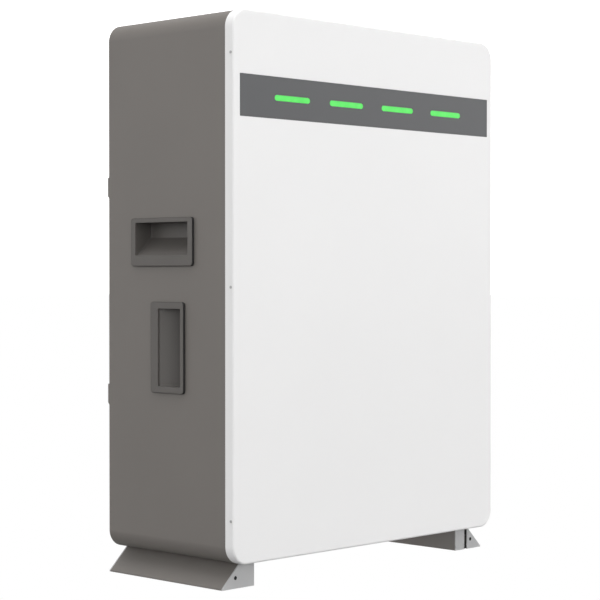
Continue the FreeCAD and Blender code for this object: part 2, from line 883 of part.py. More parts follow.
def hook_nuts():
    """Weld nuts inside the back for the hook screws."""
    nuts = []
    for side, sign, name, centre_z in hook_sites():
        for x, z in hook_screw_places(sign, centre_z):
            nuts.append(nut(V(x, inner_rear_y, z), Y * -1, m6_flats, m6_nut, m6_radius))
    return nuts


# ---- Cell pack ---------------------------------------------------------------------------------------------

def cell_z(index):
    """Middle height of one cell of a column."""
    return first_cell_z + cell_thickness / 2 + index * cell_pitch


def terminal_places(index, sign):
    """X of one cell's inner and outer terminals."""
    centre = sign * column_x
    return centre - sign * terminal_offset, centre + sign * terminal_offset


def cell(sign, index):
    """Prismatic cell lying with its two studs to the front."""
    centre = sign * column_x
    z = cell_z(index)
    body = box((centre - cell_width / 2, cell_front_y, z - cell_thickness / 2),
               (centre + cell_width / 2, cell_rear_y, z + cell_thickness / 2))
    body = body.makeFillet(3, [edge for edge in body.Edges if edge.BoundBox.YLength > cell_length - 1])
    for x in terminal_places(index, sign):
        body = body.fuse(rod(V(x, cell_front_y, z), Y * -1, pad_radius, pad_height))
        body = body.fuse(rod(V(x, cell_front_y, z), Y * -1, m6_radius, pad_height + stud_length))
    return body.removeSplitter()


def cell_spacers():
    """Insulating sheets above, below and between the cells."""
    sheets = []
    for sign in (-1, 1):
        centre = sign * column_x
        for index in range(cells_per_column + 1):
            low_z = first_cell_z - spacer_thickness + index * cell_pitch
            sheets.append(box((centre - cell_width / 2, cell_front_y, low_z),
                              (centre + cell_width / 2, cell_rear_y, low_z + spacer_thickness)))
    return sheets


def busbar_carrier():
    """Plastic plate on the cells' fronts, holed for the terminals, with bosses for the sense board."""
    start_y = cell_front_y - carrier_sheet
    low_z = first_cell_z
    high_z = pack_ceiling_z - spacer_thickness
    half = column_gap / 2 + cell_width
    plate = box((-half, start_y, low_z), (half, cell_front_y, high_z))
    holes = []
    for sign in (-1, 1):
        for index in range(cells_per_column):
            for x in terminal_places(index, sign):
                holes.append(rod(V(x, start_y - 1, cell_z(index)), Y,
                                 pad_radius + carrier_hole_clearance, carrier_sheet + 2))
    plate = plate.cut(holes)
    for x, z in sense_boss_places():
        boss = rod(V(x, start_y, z), Y * -1, 3.0, sense_boss_height)
        plate = plate.fuse(boss.fuse(rod(V(x, start_y, z), Y * -1, 1.2, sense_boss_height + 4)))
    return plate.removeSplitter()


def sense_boss_places():
    """Centres of the pins that hold the sense board."""
    return [(0, cell_z(index) + cell_pitch / 2) for index in (1, 3, 5)]


def sense_board():
    """Voltage and temperature sensing board down the middle of the pack's front."""
    back_y = cell_front_y - carrier_sheet - sense_boss_height
    start_y = back_y - board_sheet
    low_z = cell_z(1) - 20
    high_z = cell_z(6) + 20
    board = box((-sense_board_width / 2, start_y, low_z), (sense_board_width / 2, back_y, high_z))
    for index in range(1, 7):
        z = cell_z(index)
        board = board.fuse(box((-10, start_y - 4, z - 6), (10, start_y, z + 6)))
    board = board.fuse(box((-13, start_y - 9, high_z - 10), (13, start_y, high_z)))
    return board.cut([rod(V(x, start_y - 1, z), Y, 1.5, board_sheet + 2)
                      for x, z in sense_boss_places()])


def busbar_links():
    """The two terminals that each busbar joins: up each column, and across at the bottom."""
    links = []
    for sign in (-1, 1):
        for index in range(cells_per_column - 1):
            inner, outer = terminal_places(index, sign)
            x = outer if index % 2 == 0 else inner
            links.append(((x, cell_z(index)), (x, cell_z(index + 1))))
    left = terminal_places(0, -1)[0]
    right = terminal_places(0, 1)[0]
    links.append(((left, cell_z(0)), (right, cell_z(0))))
    return links


def busbars():
    """Copper links between neighbouring terminals."""
    bars = []
    for (start_x, start_z), (end_x, end_z) in busbar_links():
        centre = V((start_x + end_x) / 2, pad_front_y, (start_z + end_z) / 2)
        width = abs(end_x - start_x) + busbar_width
        height = abs(end_z - start_z) + busbar_width
        bar = rounded_slab(centre, X, Z, width, height, 4, Y * -busbar_sheet)
        for x, z in ((start_x, start_z), (end_x, end_z)):
            bar = bar.cut(rod(V(x, pad_front_y, z), Y * -1, m6_radius + 0.2, busbar_sheet))
        bars.append(bar)
    return bars


def output_terminals():
    """X and Z of the pack's negative and positive terminals, at the top of the two columns."""
    z = cell_z(cells_per_column - 1)
    return [(terminal_places(0, sign)[0], z) for sign in (-1, 1)]


def terminal_nuts():
    """Nuts on every cell stud, over a busbar or a cable lug."""
    nuts = []
    for sign in (-1, 1):
        for index in range(cells_per_column):
            for x in terminal_places(index, sign):
                nuts.append(nut(V(x, busbar_front_y, cell_z(index)), Y * -1, m6_flats, m6_nut,
                                m6_radius))
    return nuts


def tie_rod_places():
    """X and Y of the rods that squeeze the pack between its end plates."""
    reach = pack_half_width - pack_plate_overhang / 2
    front = cell_front_y + 40
    back = cell_rear_y - 40
    return [(x, y) for x in (-reach, 0, reach) for y in (front, back)]


def pack_end_plate(low_z):
    """Thick aluminium plate above or below both columns."""
    plate = box((-pack_half_width, cell_front_y + pack_plate_setback, low_z),
                (pack_half_width, cell_rear_y - pack_plate_setback, low_z + pack_plate))
    return plate.cut([rod(V(x, y, low_z - 1), Z, m6_hole_radius, pack_plate + 2)
                      for x, y in tie_rod_places()])


def tie_rods():
    """Rods with a head below the bottom plate and a thread above the top one."""
    low_z = pack_floor_z
    length = pack_top_z + m6_nut + 2 - low_z
    return [bolt(V(x, y, low_z), Z, m6_radius, length, m6_flats, m6_head)
            for x, y in tie_rod_places()]


def tie_rod_nuts():
    """Nuts on the tie rods above the top plate."""
    return [nut(V(x, y, pack_top_z), Z, m6_flats, m6_nut, m6_radius) for x, y in tie_rod_places()]


def pack_rails():
    """Two box rails on the cabinet's floor that carry the pack."""
    rails = []
    for sign in (-1, 1):
        x = sign * rail_x
        low_y = cell_front_y + pack_plate_setback
        outer = box((x - rail_width / 2, low_y, floor_z), (x + rail_width / 2, cell_rear_y, pack_floor_z))
        inner = box((x - rail_width / 2 + rail_wall, low_y - 1, floor_z + rail_wall),
                    (x + rail_width / 2 - rail_wall, cell_rear_y + 1, pack_floor_z - rail_wall))
        rails.append(outer.cut(inner))
    return rails


def pack_brackets():
    """Angles that tie the pack's top plate to the back."""
    brackets = []
    for sign in (-1, 1):
        x = sign * (pack_half_width - bracket_inset)
        foot = box((x - 12, inner_rear_y - 50, pack_top_z), (x + 12, inner_rear_y, pack_top_z + 3))
        leg = box((x - 12, inner_rear_y - 3, pack_top_z), (x + 12, inner_rear_y, pack_top_z + 40))
        brackets.append(foot.fuse(leg).removeSplitter())
    return brackets


# ---- Battery management unit and fuse -------------------------------------------------------------------------

bms_low_z = pack_top_z + bms_lift
bms_high_z = bms_low_z + bms_height
bms_plate_y = inner_rear_y - bms_spacer - bms_plate
bms_board_y = bms_plate_y - bms_board_gap - board_sheet


def bms_corner_places():
    """Fixing points at the corners of the management unit."""
    return [(x, z) for x in (-bms_width / 2 + 8, bms_width / 2 - 8)
            for z in (bms_low_z + 8, bms_high_z - 8)]


def bms_heatsink():
    """Aluminium plate with upright fins behind it."""
    plate = box((-bms_width / 2, bms_plate_y, bms_low_z), (bms_width / 2, bms_plate_y + bms_plate, bms_high_z))
    pitch = (bms_width - 40) / (fin_count - 1)
    for index in range(fin_count):
        x = -bms_width / 2 + 20 + index * pitch
        plate = plate.fuse(box((x - fin_sheet / 2, bms_plate_y + bms_plate, bms_low_z),
                               (x + fin_sheet / 2, bms_plate_y + bms_plate + fin_height, bms_high_z)))
    return plate.removeSplitter().cut([rod(V(x, bms_plate_y - 1, z), Y, 2.2, bms_plate + 2)
                                       for x, z in bms_corner_places()])


def bms_spacers():
    """Threaded posts from the back to the management board, through the heatsink's corners."""
    posts = []
    for x, z in bms_corner_places():
        rear = rod(V(x, inner_rear_y, z), Y * -1, 4.0, bms_spacer)
        core = rod(V(x, inner_rear_y, z), Y * -1, 2.0, inner_rear_y - bms_board_y + 4)
        front = rod(V(x, bms_plate_y, z), Y * -1, 4.0, bms_board_gap)
        posts.append(rear.fuse(core).fuse(front).removeSplitter())
    return posts


def bms_board():
    """Management board with transistors against the heatsink, capacitors and three lug posts."""
    board = box((-bms_width / 2, bms_board_y, bms_low_z), (bms_width / 2, bms_board_y + board_sheet, bms_high_z))
    back_y = bms_board_y + board_sheet
    for index in range(14):
        x = -bms_width / 2 + 30 + index * (bms_width - 60) / 13
        board = board.fuse(box((x - 5, back_y, bms_low_z + 24), (x + 5, bms_plate_y, bms_low_z + 40)))
        board = board.fuse(box((x - 5, back_y, bms_low_z + 60), (x + 5, bms_plate_y, bms_low_z + 76)))
    for index in range(6):
        x = -75 + index * 30
        board = board.fuse(rod(V(x, bms_board_y, bms_high_z - 24), Y * -1, 8, 22))
    board = board.fuse(box((-20, bms_board_y - 12, bms_low_z + 40), (20, bms_board_y, bms_low_z + 50)))
    for x in (-bms_post_x, bms_post_x):
        board = board.fuse(rod(V(x, bms_board_y, bms_low_z + 20), Y * -1, 9, 6))
        board = board.fuse(rod(V(x, bms_board_y, bms_low_z + 20), Y * -1, m6_radius, 16))
    return board.removeSplitter().cut([rod(V(x, bms_board_y - 1, z), Y, 2.2, board_sheet + 2)
                                       for x, z in bms_corner_places()])


def fuse_studs():
    """Centres of the fuse holder's input and output studs."""
    return [V(fuse_x, fuse_front_y, pack_top_z), V(fuse_x, fuse_front_y + fuse_length, pack_top_z)]


def fuse_holder():
    """Insulating base on the pack's top plate with two studs."""
    base = box((fuse_x - 15, fuse_front_y - 15, pack_top_z),
               (fuse_x + 15, fuse_front_y + fuse_length + 15, pack_top_z + fuse_base))
    for stud in fuse_studs():
        base = base.fuse(rod(stud, Z, m6_radius, fuse_base + 16))
    return base.removeSplitter()


def pack_fuse():
    """Ceramic fuse body with two blades on the holder's studs."""
    low_z = pack_top_z + fuse_base
    middle_y = fuse_front_y + fuse_length / 2
    body = rod(V(fuse_x, middle_y - 22, low_z + fuse_radius + 1), Y, fuse_radius, 44)
    for stud in fuse_studs():
        inward = 1 if stud.y < middle_y else -1
        low = min(stud.y - 8 * inward, middle_y - 20 * inward)
        high = max(stud.y - 8 * inward, middle_y - 20 * inward)
        blade = box((fuse_x - 8, low, low_z), (fuse_x + 8, high, low_z + 3))
        body = body.fuse(blade).cut(rod(stud, Z, m6_radius + 0.2, fuse_base + 10))
    return body.removeSplitter()


# ---- Connection bay ---------------------------------------------------------------------------------------------

def bay_box(y, z, width, height, start_x, end_x):
    """Box centred on a place of the bay's back, between two X places."""
    return box((start_x, y - width / 2, z - height / 2), (end_x, y + width / 2, z + height / 2))


def button_places():
    """Y, Z, cap radius and housing size of each push button."""
    return {
        "power_button": (power_button_y, bay_z + power_button_lift, power_button_radius, 2.5),
        "reset_button": (reset_button_y, bay_z + reset_button_lift, reset_button_radius, 2.0),
    }


def bay_holes():
    """Everything that the fittings cut out of the bay's back plate."""
    through = (bay_back_x - bay_sheet - 1, bay_back_x + 1)
    start_x = through[0]
    holes = [bay_box(breaker_y, breaker_z, breaker_width + 2 * fitting_clearance,
                     nose_height + 2 * fitting_clearance, *through)]
    for y in port_y:
        holes.append(bay_box(y, bay_z + port_lift, port_width + 2 * fitting_clearance,
                             port_height + 2 * fitting_clearance, *through))
    for y, z, radius, wall in button_places().values():
        holes.append(rod(V(start_x, y, z), X, radius + wall + fitting_clearance, bay_sheet + 2))
    for y in terminal_y:
        holes.append(rod(V(start_x, y, terminal_z), X, insert_radius + fitting_clearance, bay_sheet + 2))
    holes.append(rod(V(start_x, earth_stud_y, bay_z + earth_stud_lift), X, m6_hole_radius, bay_sheet + 2))
    holes.append(rod(V(start_x, vent_y, bay_z + vent_lift), X, vent_neck_radius + fitting_clearance,
                     bay_sheet + 2))
    return holes


def bay_back_plate():
    """Plate welded into the back of the bay, with a cut-out for each fitting."""
    plate = bay_slab(bay_back_x - bay_sheet, bay_back_x, 0, bay_corner_radius - bay_sheet)
    return plate.cut(bay_holes())


def connection_bay():
    """Deep frame set into the right side, with a lip outside and two ears for the flap's pin."""
    lip = bay_slab(side_x, side_x + bay_sheet, bay_lip, bay_corner_radius + bay_lip / 2)
    frame = lip.fuse(bay_slab(bay_back_x - bay_sheet, side_x + bay_sheet / 2, bay_sheet, bay_corner_radius))
    frame = frame.cut(bay_slab(bay_back_x - bay_sheet - 1, side_x + bay_sheet + 1, 0,
                               bay_corner_radius - bay_sheet))
    for y, z in bay_screw_places():
        frame = frame.cut(rod(V(side_x - 1, y, z), X, grip_stud_hole_radius, bay_sheet + 2))
    ceiling_z = bay_z + bay_height / 2
    ear_half = flap_ear_width / 2
    for edge in (-1, 1):
        low_y = breaker_y + edge * (flap_width / 2 + flap_ear_gap + flap_ear / 2) - flap_ear / 2
        ear = box((flap_pin_x - ear_half, low_y, flap_pin_z - ear_half),
                  (flap_pin_x + ear_half, low_y + flap_ear, ceiling_z + bay_sheet / 4))
        frame = frame.fuse(ear)
        frame = frame.cut(rod(V(flap_pin_x, low_y - 1, flap_pin_z), Y, flap_pin_radius + flap_pin_fit,
                              flap_ear + 2))
    return frame.removeSplitter()


def bay_screws():
    """Screws through the bay's lip."""
    return [screw(V(side_x + bay_sheet, y, z), X * -1, 1.5, 10, 2.9, 1.8) for y, z in bay_screw_places()]


def bay_nuts():
    """Nuts inside the cabinet's side for the bay's screws."""
    return [nut(V(side_x - case_sheet, y, z), X * -1, m3_flats, m3_nut, 1.5) for y, z in bay_screw_places()]


def breaker_body():
    """Two-pole circuit breaker behind the tray, its nose coming through."""
    body = bay_box(breaker_y, breaker_z, breaker_width, breaker_height, breaker_rear_x,
                   bay_back_x - bay_sheet)
    body = body.fuse(bay_box(breaker_y, breaker_z, breaker_width, nose_height,
                             bay_back_x - bay_sheet, nose_front_x))
    cavity_width = toggle_width + 2 * toggle_clearance
    cavity = rod(V(toggle_x, breaker_y - cavity_width / 2, breaker_z), Y,
                 toggle_hub_radius + toggle_clearance, cavity_width)
    body = body.cut(cavity)
    for y, sign in ((breaker_y - breaker_width / 4, 1), (breaker_y + breaker_width / 4, 1)):
        for end in (-1, 1):
            mouth = V(breaker_rear_x + 24, y, breaker_z + end * breaker_height / 2)
            body = body.cut(rod(mouth, Z * -end, power_cable_diameter / 2 + 0.3, 12))
    return body.removeSplitter()


def breaker_toggle():
    """Toggle drum with a lever that points down and out when it is off."""
    drum = rod(V(toggle_x, breaker_y - toggle_width / 2, breaker_z), Y, toggle_hub_radius, toggle_width)
    lever = box((0, -toggle_width / 2, -toggle_sheet / 2), (toggle_reach, toggle_width / 2, toggle_sheet / 2))
    lever = lever.makeFillet(1.2, [edge for edge in lever.Edges if edge.BoundBox.XMin > toggle_reach - 0.01])
    lever.rotate(V(0, 0, 0), Y, -toggle_rest_angle)
    lever.translate(V(toggle_x, breaker_y, breaker_z))
    return drum.fuse(lever).removeSplitter()


def breaker_flap():
    """Smoked flap over the breaker, hanging from the pin at its top edge."""
    low_y = breaker_y - flap_width / 2
    plate = box((flap_front_x - flap_sheet, low_y, flap_pin_z - flap_height),
                (flap_front_x, low_y + flap_width, flap_pin_z))
    barrel = rod(V(flap_pin_x, low_y, flap_pin_z), Y, flap_barrel_radius, flap_width)
    flap = plate.fuse(barrel).removeSplitter()
    lip = box((flap_front_x, low_y + flap_width / 2 - 10, flap_pin_z - flap_height),
              (flap_front_x + 1.2, low_y + flap_width / 2 + 10, flap_pin_z - flap_height + 3))
    flap = flap.fuse(lip).removeSplitter()
    return flap.cut(rod(V(flap_pin_x, low_y - 1, flap_pin_z), Y, flap_pin_radius + flap_pin_clearance,
                        flap_width + 2))


def flap_pin():
    """Steel pin through the flap's barrel and the tray's two ears."""
    reach = flap_width / 2 + flap_ear_gap + flap_ear
    return rod(V(flap_pin_x, breaker_y - reach, flap_pin_z), Y, flap_pin_radius, 2 * reach)


def button_housing(place):
    """Threaded metal housing with a blind bore for the cap, and a ring outside."""
    y, z, radius, wall = place
    ring = rod(V(bay_back_x, y, z), X, radius + wall + 2, 2)
    barrel = rod(V(bay_back_x - 22, y, z), X, radius + wall, 22)
    bore = rod(V(bay_back_x - 8, y, z), X, radius + button_clearance, 11)
    return ring.fuse(barrel).cut(bore).removeSplitter()


def button_cap(place, travel):
    """Round cap that stands proud of its housing by its travel and a little more."""
    y, z, radius, wall = place
    start_x = bay_back_x - 8 + travel + 0.3
    cap = rod(V(start_x, y, z), X, radius, bay_back_x + 2 + travel + 0.6 - start_x)
    rim = [edge for edge in cap.Edges if edge.BoundBox.XMin > bay_back_x + 2]
    return cap.makeFillet(0.4, rim)


def comm_ports():
    """Three data sockets through the tray's back."""
    ports = []
    z = bay_z + port_lift
    for y in port_y:
        body = bay_box(y, z, port_width, port_height, bay_back_x + 0.6 - port_length, bay_back_x + 0.6)
        rim = bay_box(y, z, port_width + 2, port_height + 2, bay_back_x, bay_back_x + 0.6)
        mouth = bay_box(y, z, port_mouth_width, port_mouth_height,
                        bay_back_x + 0.6 - port_mouth_depth, bay_back_x + 2)
        notch = bay_box(y, z + port_mouth_height / 2 + 1, 4, 2,
                        bay_back_x + 0.6 - port_mouth_depth, bay_back_x + 2)
        ports.append(body.fuse(rim).cut(mouth).cut(notch).removeSplitter())
    return ports


def terminal_housings(places):
    """Insulated terminal blocks with a round recess for the lug."""
    blocks = []
    for y in places:
        front_x = bay_back_x + terminal_reach
        block = bay_box(y, terminal_z, terminal_size, terminal_size, bay_back_x, front_x)
        block = block.makeFillet(3, [edge for edge in block.Edges if edge.BoundBox.XLength > terminal_reach - 1])
        recess = rod(V(front_x - terminal_recess, y, terminal_z), X, terminal_recess_radius,
                     terminal_recess + 1)
        core = rod(V(bay_back_x - 1, y, terminal_z), X, insert_radius, terminal_reach)
        blocks.append(block.cut(recess).cut(core))
    return blocks


def terminal_inserts():
    """Copper inserts with a threaded hole in front and a flat tail behind."""
    inserts = []
    front_x = bay_back_x + terminal_reach - terminal_recess
    for y in terminal_y:
        start_x = bay_back_x - insert_tail
        insert = rod(V(start_x, y, terminal_z), X, insert_radius, front_x - start_x)
        inserts.append(insert.cut(rod(V(front_x - insert_thread_length, y, terminal_z), X,
                                      insert_thread_radius, insert_thread_length + 1)))
    return inserts


def output_bars():
    """Copper bars that join each pair of inserts behind the tray."""
    bars = []
    rear_x = bay_back_x - insert_tail
    for first, second in (terminal_y[:2], terminal_y[2:]):
        bars.append(box((rear_x - 3, first - 9, terminal_z - 9), (rear_x, second + 9, terminal_z + 9)))
    return bars


def earth_stud():
    """Earthing stud through the tray with a nut on each side of it."""
    z = bay_z + earth_stud_lift
    stud = rod(V(bay_back_x - 12, earth_stud_y, z), X, m6_radius, 12 + m6_nut + earth_stud_reach)
    stud = stud.fuse(hexagon(V(bay_back_x, earth_stud_y, z), X, m6_flats, m6_nut))
    return stud.fuse(hexagon(V(bay_back_x - bay_sheet - m6_nut, earth_stud_y, z), X, m6_flats, m6_nut))


def vent_plug():
    """Breather plug that lets the cabinet's pressure out."""
    z = bay_z + vent_lift
    plug = hexagon(V(bay_back_x, vent_y, z), X, 2 * vent_radius + 3, 4)
    plug = plug.fuse(rod(V(bay_back_x, vent_y, z), X, vent_radius, 7))
    return plug.fuse(rod(V(bay_back_x - 10, vent_y, z), X, vent_neck_radius, 10)).removeSplitter()


# ---- Wiring -----------------------------------------------------------------------------------------------------

def lug(stud, up, facing):
    """Ring lug on a stud: a flat ring facing one way and a barrel running up."""
    side = up.cross(facing)
    plate = rounded_slab(stud, side, up, lug_width, lug_width, lug_width / 2 - 0.1, facing * lug_sheet)
    neck_start = stud + up * (lug_width / 2 - 2) - side * (lug_width / 4)
    neck = prism([neck_start, neck_start + side * (lug_width / 2),
                  neck_start + side * (lug_width / 2) + up * 8, neck_start + up * 8], facing * lug_sheet)
    radius = power_cable_diameter / 2 + 0.8
    barrel = rod(stud + up * (lug_width / 2 + 4) + facing * radius, up, radius, lug_barrel_length)
    socket = rod(stud + up * (lug_width / 2 + 8) + facing * radius, up,
                 power_cable_diameter / 2 + lug_clearance, lug_barrel_length)
    body = plate.fuse(neck).fuse(barrel)
    return body.cut(rod(stud - facing, facing, m6_radius + 0.2, lug_sheet + 2)).cut(socket).removeSplitter()


def lug_mouth(stud, up, facing):
    """Where the cable meets the lug's barrel."""
    radius = power_cable_diameter / 2 + 0.8
    return stud + up * (lug_width / 2 + 8) + facing * radius


def lug_sites():
    """Stud, barrel direction and facing of every cable lug."""
    (negative_x, pack_z), (positive_x, pack_z_again) = output_terminals()
    lug_top = pack_top_z + fuse_base + 3
    first, second = fuse_studs()
    return {
        "pack_negative": (V(negative_x, pad_front_y, pack_z), Z, Y * -1),
        "pack_positive": (V(positive_x, pad_front_y, pack_z_again), Z, Y * -1),
        "fuse_input": (V(first.x, first.y, lug_top), Y * -1, Z),
        "fuse_output": (V(second.x, second.y, lug_top), Y, Z),
        "bms_input": (V(-bms_post_x, bms_board_y - 6, bms_low_z + 20), Z * -1, Y * -1),
        "bms_output": (V(bms_post_x, bms_board_y - 6, bms_low_z + 20), X, Y * -1),
    }


def cable_lugs():
    """Every crimped lug on the power cables."""
    return [lug(*site) for site in lug_sites().values()]


def breaker_mouth(pole, end):
    """Bottom of one clamp hole of the breaker: pole -1 or 1 across, end -1 below or 1 above."""
    return V(breaker_rear_x + 24, breaker_y + pole * breaker_width / 4,
             breaker_z + end * (breaker_height / 2 - 12))


def power_cables():
    """Routes of the power cables, each a list of points from one end to the other."""
    mouths = {name: lug_mouth(*site) for name, site in lug_sites().items()}
    start = mouths["pack_positive"]
    end = mouths["fuse_input"]
    positive_feed = [start, V(start.x, start.y, end.z - 4), V(end.x, start.y - 14, end.z), end]
    start = mouths["pack_negative"]
    end = mouths["bms_input"]
    negative_feed = [start, V(start.x, start.y, pack_top_z + 24), V(end.x, end.y, pack_top_z + 14), end]
    start = mouths["fuse_output"]
    end = breaker_mouth(-1, 1)
    over_z = breaker_z + breaker_height / 2 + 44
    positive_run = [start, V(start.x, start.y + 36, start.z), V(start.x + 56, end.y, breaker_z + 12),
                    V(end.x, end.y, over_z), end]
    start = mouths["bms_output"]
    end = breaker_mouth(1, 1)
    clear_of_breaker = V(breaker_rear_x - 20, (start.y + end.y) / 2, breaker_z + 50)
    negative_run = [start, V(start.x + 40, start.y, start.z), clear_of_breaker,
                    V(end.x, end.y, over_z), end]
    routes = {"positive_feed_cable": positive_feed, "negative_feed_cable": negative_feed,
              "positive_run_cable": positive_run, "negative_run_cable": negative_run}
    bar_x = bay_back_x - insert_tail - 3 - power_cable_diameter / 2
    for name, pole, pair in (("positive_output_cable", -1, terminal_y[:2]),
                             ("negative_output_cable", 1, terminal_y[2:])):
        start = breaker_mouth(pole, -1)
        middle_y = sum(pair) / 2
        routes[name] = [start, V(start.x, start.y, start.z - 34), V(bar_x, middle_y, terminal_z + 34),
                        V(bar_x, middle_y, terminal_z - 8)]
    return routes


def signal_cables():
    """Routes of the light board's and the sense board's leads to the management board."""
    plug_y = bms_board_y - 12
    plug_z = bms_low_z + 45
    led_y = front_y + led_board_setback + led_board_thickness + 6
    led_z = base_z + window_bottom + light_drop - 10.5
    sense_y = cell_front_y - carrier_sheet - sense_boss_height - board_sheet - 4.5
    sense_z = cell_z(6) + 20
    return {
        "light_lead": [V(8, led_y, led_z), V(8, led_y + 36, led_z), V(8, plug_y - 36, plug_z),
                       V(8, plug_y, plug_z)],
        "sense_lead": [V(-8, sense_y, sense_z), V(-8, sense_y, pack_top_z + 6),
                       V(-8, sense_y + 60, pack_top_z + 24), V(-8, plug_y - 40, plug_z),
                       V(-8, plug_y, plug_z)],
    }


# ---- Write every sub-part -----------------------------------------------------------------------------------------

os.makedirs("parts", exist_ok=True)

save("case_shell", [case_shell()])
save("rear_panel", [rear_panel()])
save("front_frame", [front_frame()])
save("front_cover", [front_cover()])
save("cover_gasket", [cover_gasket()])
save("cover_screws", cover_screws() + cover_nuts())
save("window_strip", [window_strip()])
save("light_bars", light_bars())
save("led_board", [led_board()])
save("led_board_screws", led_board_screws())

all_grip_nuts = []
all_grip_seals = []
for grip_name, grip_origin, grip_u, grip_v in grip_sites():
    save("grip_cup_" + grip_name, [turned(grip_cup(), grip_origin, grip_u, grip_v)])
    all_grip_seals.append(turned(grip_seal(), grip_origin, grip_u, grip_v))
    all_grip_nuts.extend(turned(piece, grip_origin, grip_u, grip_v) for piece in grip_nuts())
save("grip_seals", all_grip_seals)
save("grip_nuts", all_grip_nuts)

foot_channel = left_foot_channel()
foot_ends = left_foot_ends()
end_screws = left_foot_screws()
save("foot_left", [foot_channel])
save("foot_right", [to_right_foot(foot_channel)])
save("foot_end_plates", foot_ends + [to_right_foot(piece) for piece in foot_ends])
save("foot_end_screws", end_screws + [to_right_foot(piece) for piece in end_screws])
save("foot_bolts", foot_bolts() + foot_nuts())

for hook_side, hook_sign, hook_name, hook_z in hook_sites():
    save("wall_hook_" + hook_side + "_" + hook_name, [wall_hook(hook_sign, hook_z)])
save("hook_screws", hook_screws() + hook_nuts())

for column_name, column_sign in (("left", -1), ("right", 1)):
    save("cells_" + column_name, [cell(column_sign, index) for index in range(cells_per_column)])
save("cell_spacers", cell_spacers())
save("busbar_carrier", [busbar_carrier()])
save("sense_board", [sense_board()])
save("busbars", busbars())
save("terminal_nuts", terminal_nuts())
save("pack_end_plates", [pack_end_plate(pack_floor_z), pack_end_plate(pack_ceiling_z)])
save("tie_rods", tie_rods() + tie_rod_nuts())
save("pack_supports", pack_rails() + pack_brackets())
save("bms_heatsink", [bms_heatsink()])
save("bms_spacers", bms_spacers())
save("bms_board", [bms_board()])
save("fuse_holder", [fuse_holder()])
save("pack_fuse", [pack_fuse()])

save("connection_bay", [connection_bay()])
save("bay_back_plate", [bay_back_plate()])
save("bay_screws", bay_screws() + bay_nuts())
save("breaker_body", [breaker_body()])
save("breaker_toggle", [breaker_toggle()])
save("breaker_flap", [breaker_flap()])
save("flap_pin", [flap_pin()])
for button_name, button_travel in (("power_button", power_button_travel),
                                   ("reset_button", reset_button_travel)):
    save(button_name, [button_cap(button_places()[button_name], button_travel)])
save("button_housings", [button_housing(place) for place in button_places().values()])
save("comm_ports", comm_ports())
save("terminals_positive", terminal_housings(terminal_y[:2]))
save("terminals_negative", terminal_housings(terminal_y[2:]))
save("terminal_inserts", terminal_inserts() + output_bars())
save("earth_stud", [earth_stud()])
save("vent_plug", [vent_plug()])

save("cable_lugs", cable_lugs())
save("power_cables", [cord(route, power_cable_diameter) for route in power_cables().values()])
save("signal_cables", [cord(route, signal_cable_diameter) for route in signal_cables().values()])
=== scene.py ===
import json
import math

import bmesh
import bpy
from mathutils import Matrix, Vector


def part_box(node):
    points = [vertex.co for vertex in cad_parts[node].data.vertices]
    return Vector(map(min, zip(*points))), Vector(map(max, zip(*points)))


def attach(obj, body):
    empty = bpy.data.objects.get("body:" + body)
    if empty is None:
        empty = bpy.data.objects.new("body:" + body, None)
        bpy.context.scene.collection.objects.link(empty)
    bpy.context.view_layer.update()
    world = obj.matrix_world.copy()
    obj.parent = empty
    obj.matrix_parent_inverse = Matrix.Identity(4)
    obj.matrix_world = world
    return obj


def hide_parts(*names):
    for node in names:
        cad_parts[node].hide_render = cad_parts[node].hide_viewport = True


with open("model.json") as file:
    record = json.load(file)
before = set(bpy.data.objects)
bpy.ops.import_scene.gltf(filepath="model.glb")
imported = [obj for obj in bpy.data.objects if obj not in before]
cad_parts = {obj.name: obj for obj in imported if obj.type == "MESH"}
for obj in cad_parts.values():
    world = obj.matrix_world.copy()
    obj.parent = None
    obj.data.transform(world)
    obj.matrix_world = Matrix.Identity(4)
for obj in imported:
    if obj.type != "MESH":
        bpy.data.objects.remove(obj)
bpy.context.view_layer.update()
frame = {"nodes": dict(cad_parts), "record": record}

NODES = frame["nodes"]
MM = 0.001
X = Vector((1, 0, 0))
Y = Vector((0, 1, 0))
Z = Vector((0, 0, 1))


# ---- Sizes read from the frame ------------------------------------------------------------

cover_low, cover_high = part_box("front_cover")
wrap_low, wrap_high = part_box("case_shell")
rear_low, rear_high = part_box("rear_panel")
strip_low, strip_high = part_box("window_strip")

SIDE = cover_high.x
CASE_WIDTH = 2 * SIDE
CASE_HEIGHT = cover_high.z - cover_low.z
CASE_MIDDLE = (cover_high.z + cover_low.z) / 2
WRAP_SHEET = (CASE_WIDTH - (rear_high.x - rear_low.x)) / 2


# ---- Sizes and steps of what is built by hand -------------------------------------------------

CORNER_RADIUS = 27 * MM
CORNER_STEPS = 14
COVER_SHEET = 1.2 * MM
COVER_EDGE = 3 * MM
EDGE_STEPS = 6
FOLDED_EDGE = 0.25 * MM
WINDOW_FLANGE = 4.9 * MM
COVER_SCREW_HOLE = 1.45 * MM
HOOK_SCREW_HOLE = 3.3 * MM
BAY_GAP = 0.5 * MM
BAY_LIP_DEPTH = 5 * MM
CUT_REACH = 10 * MM

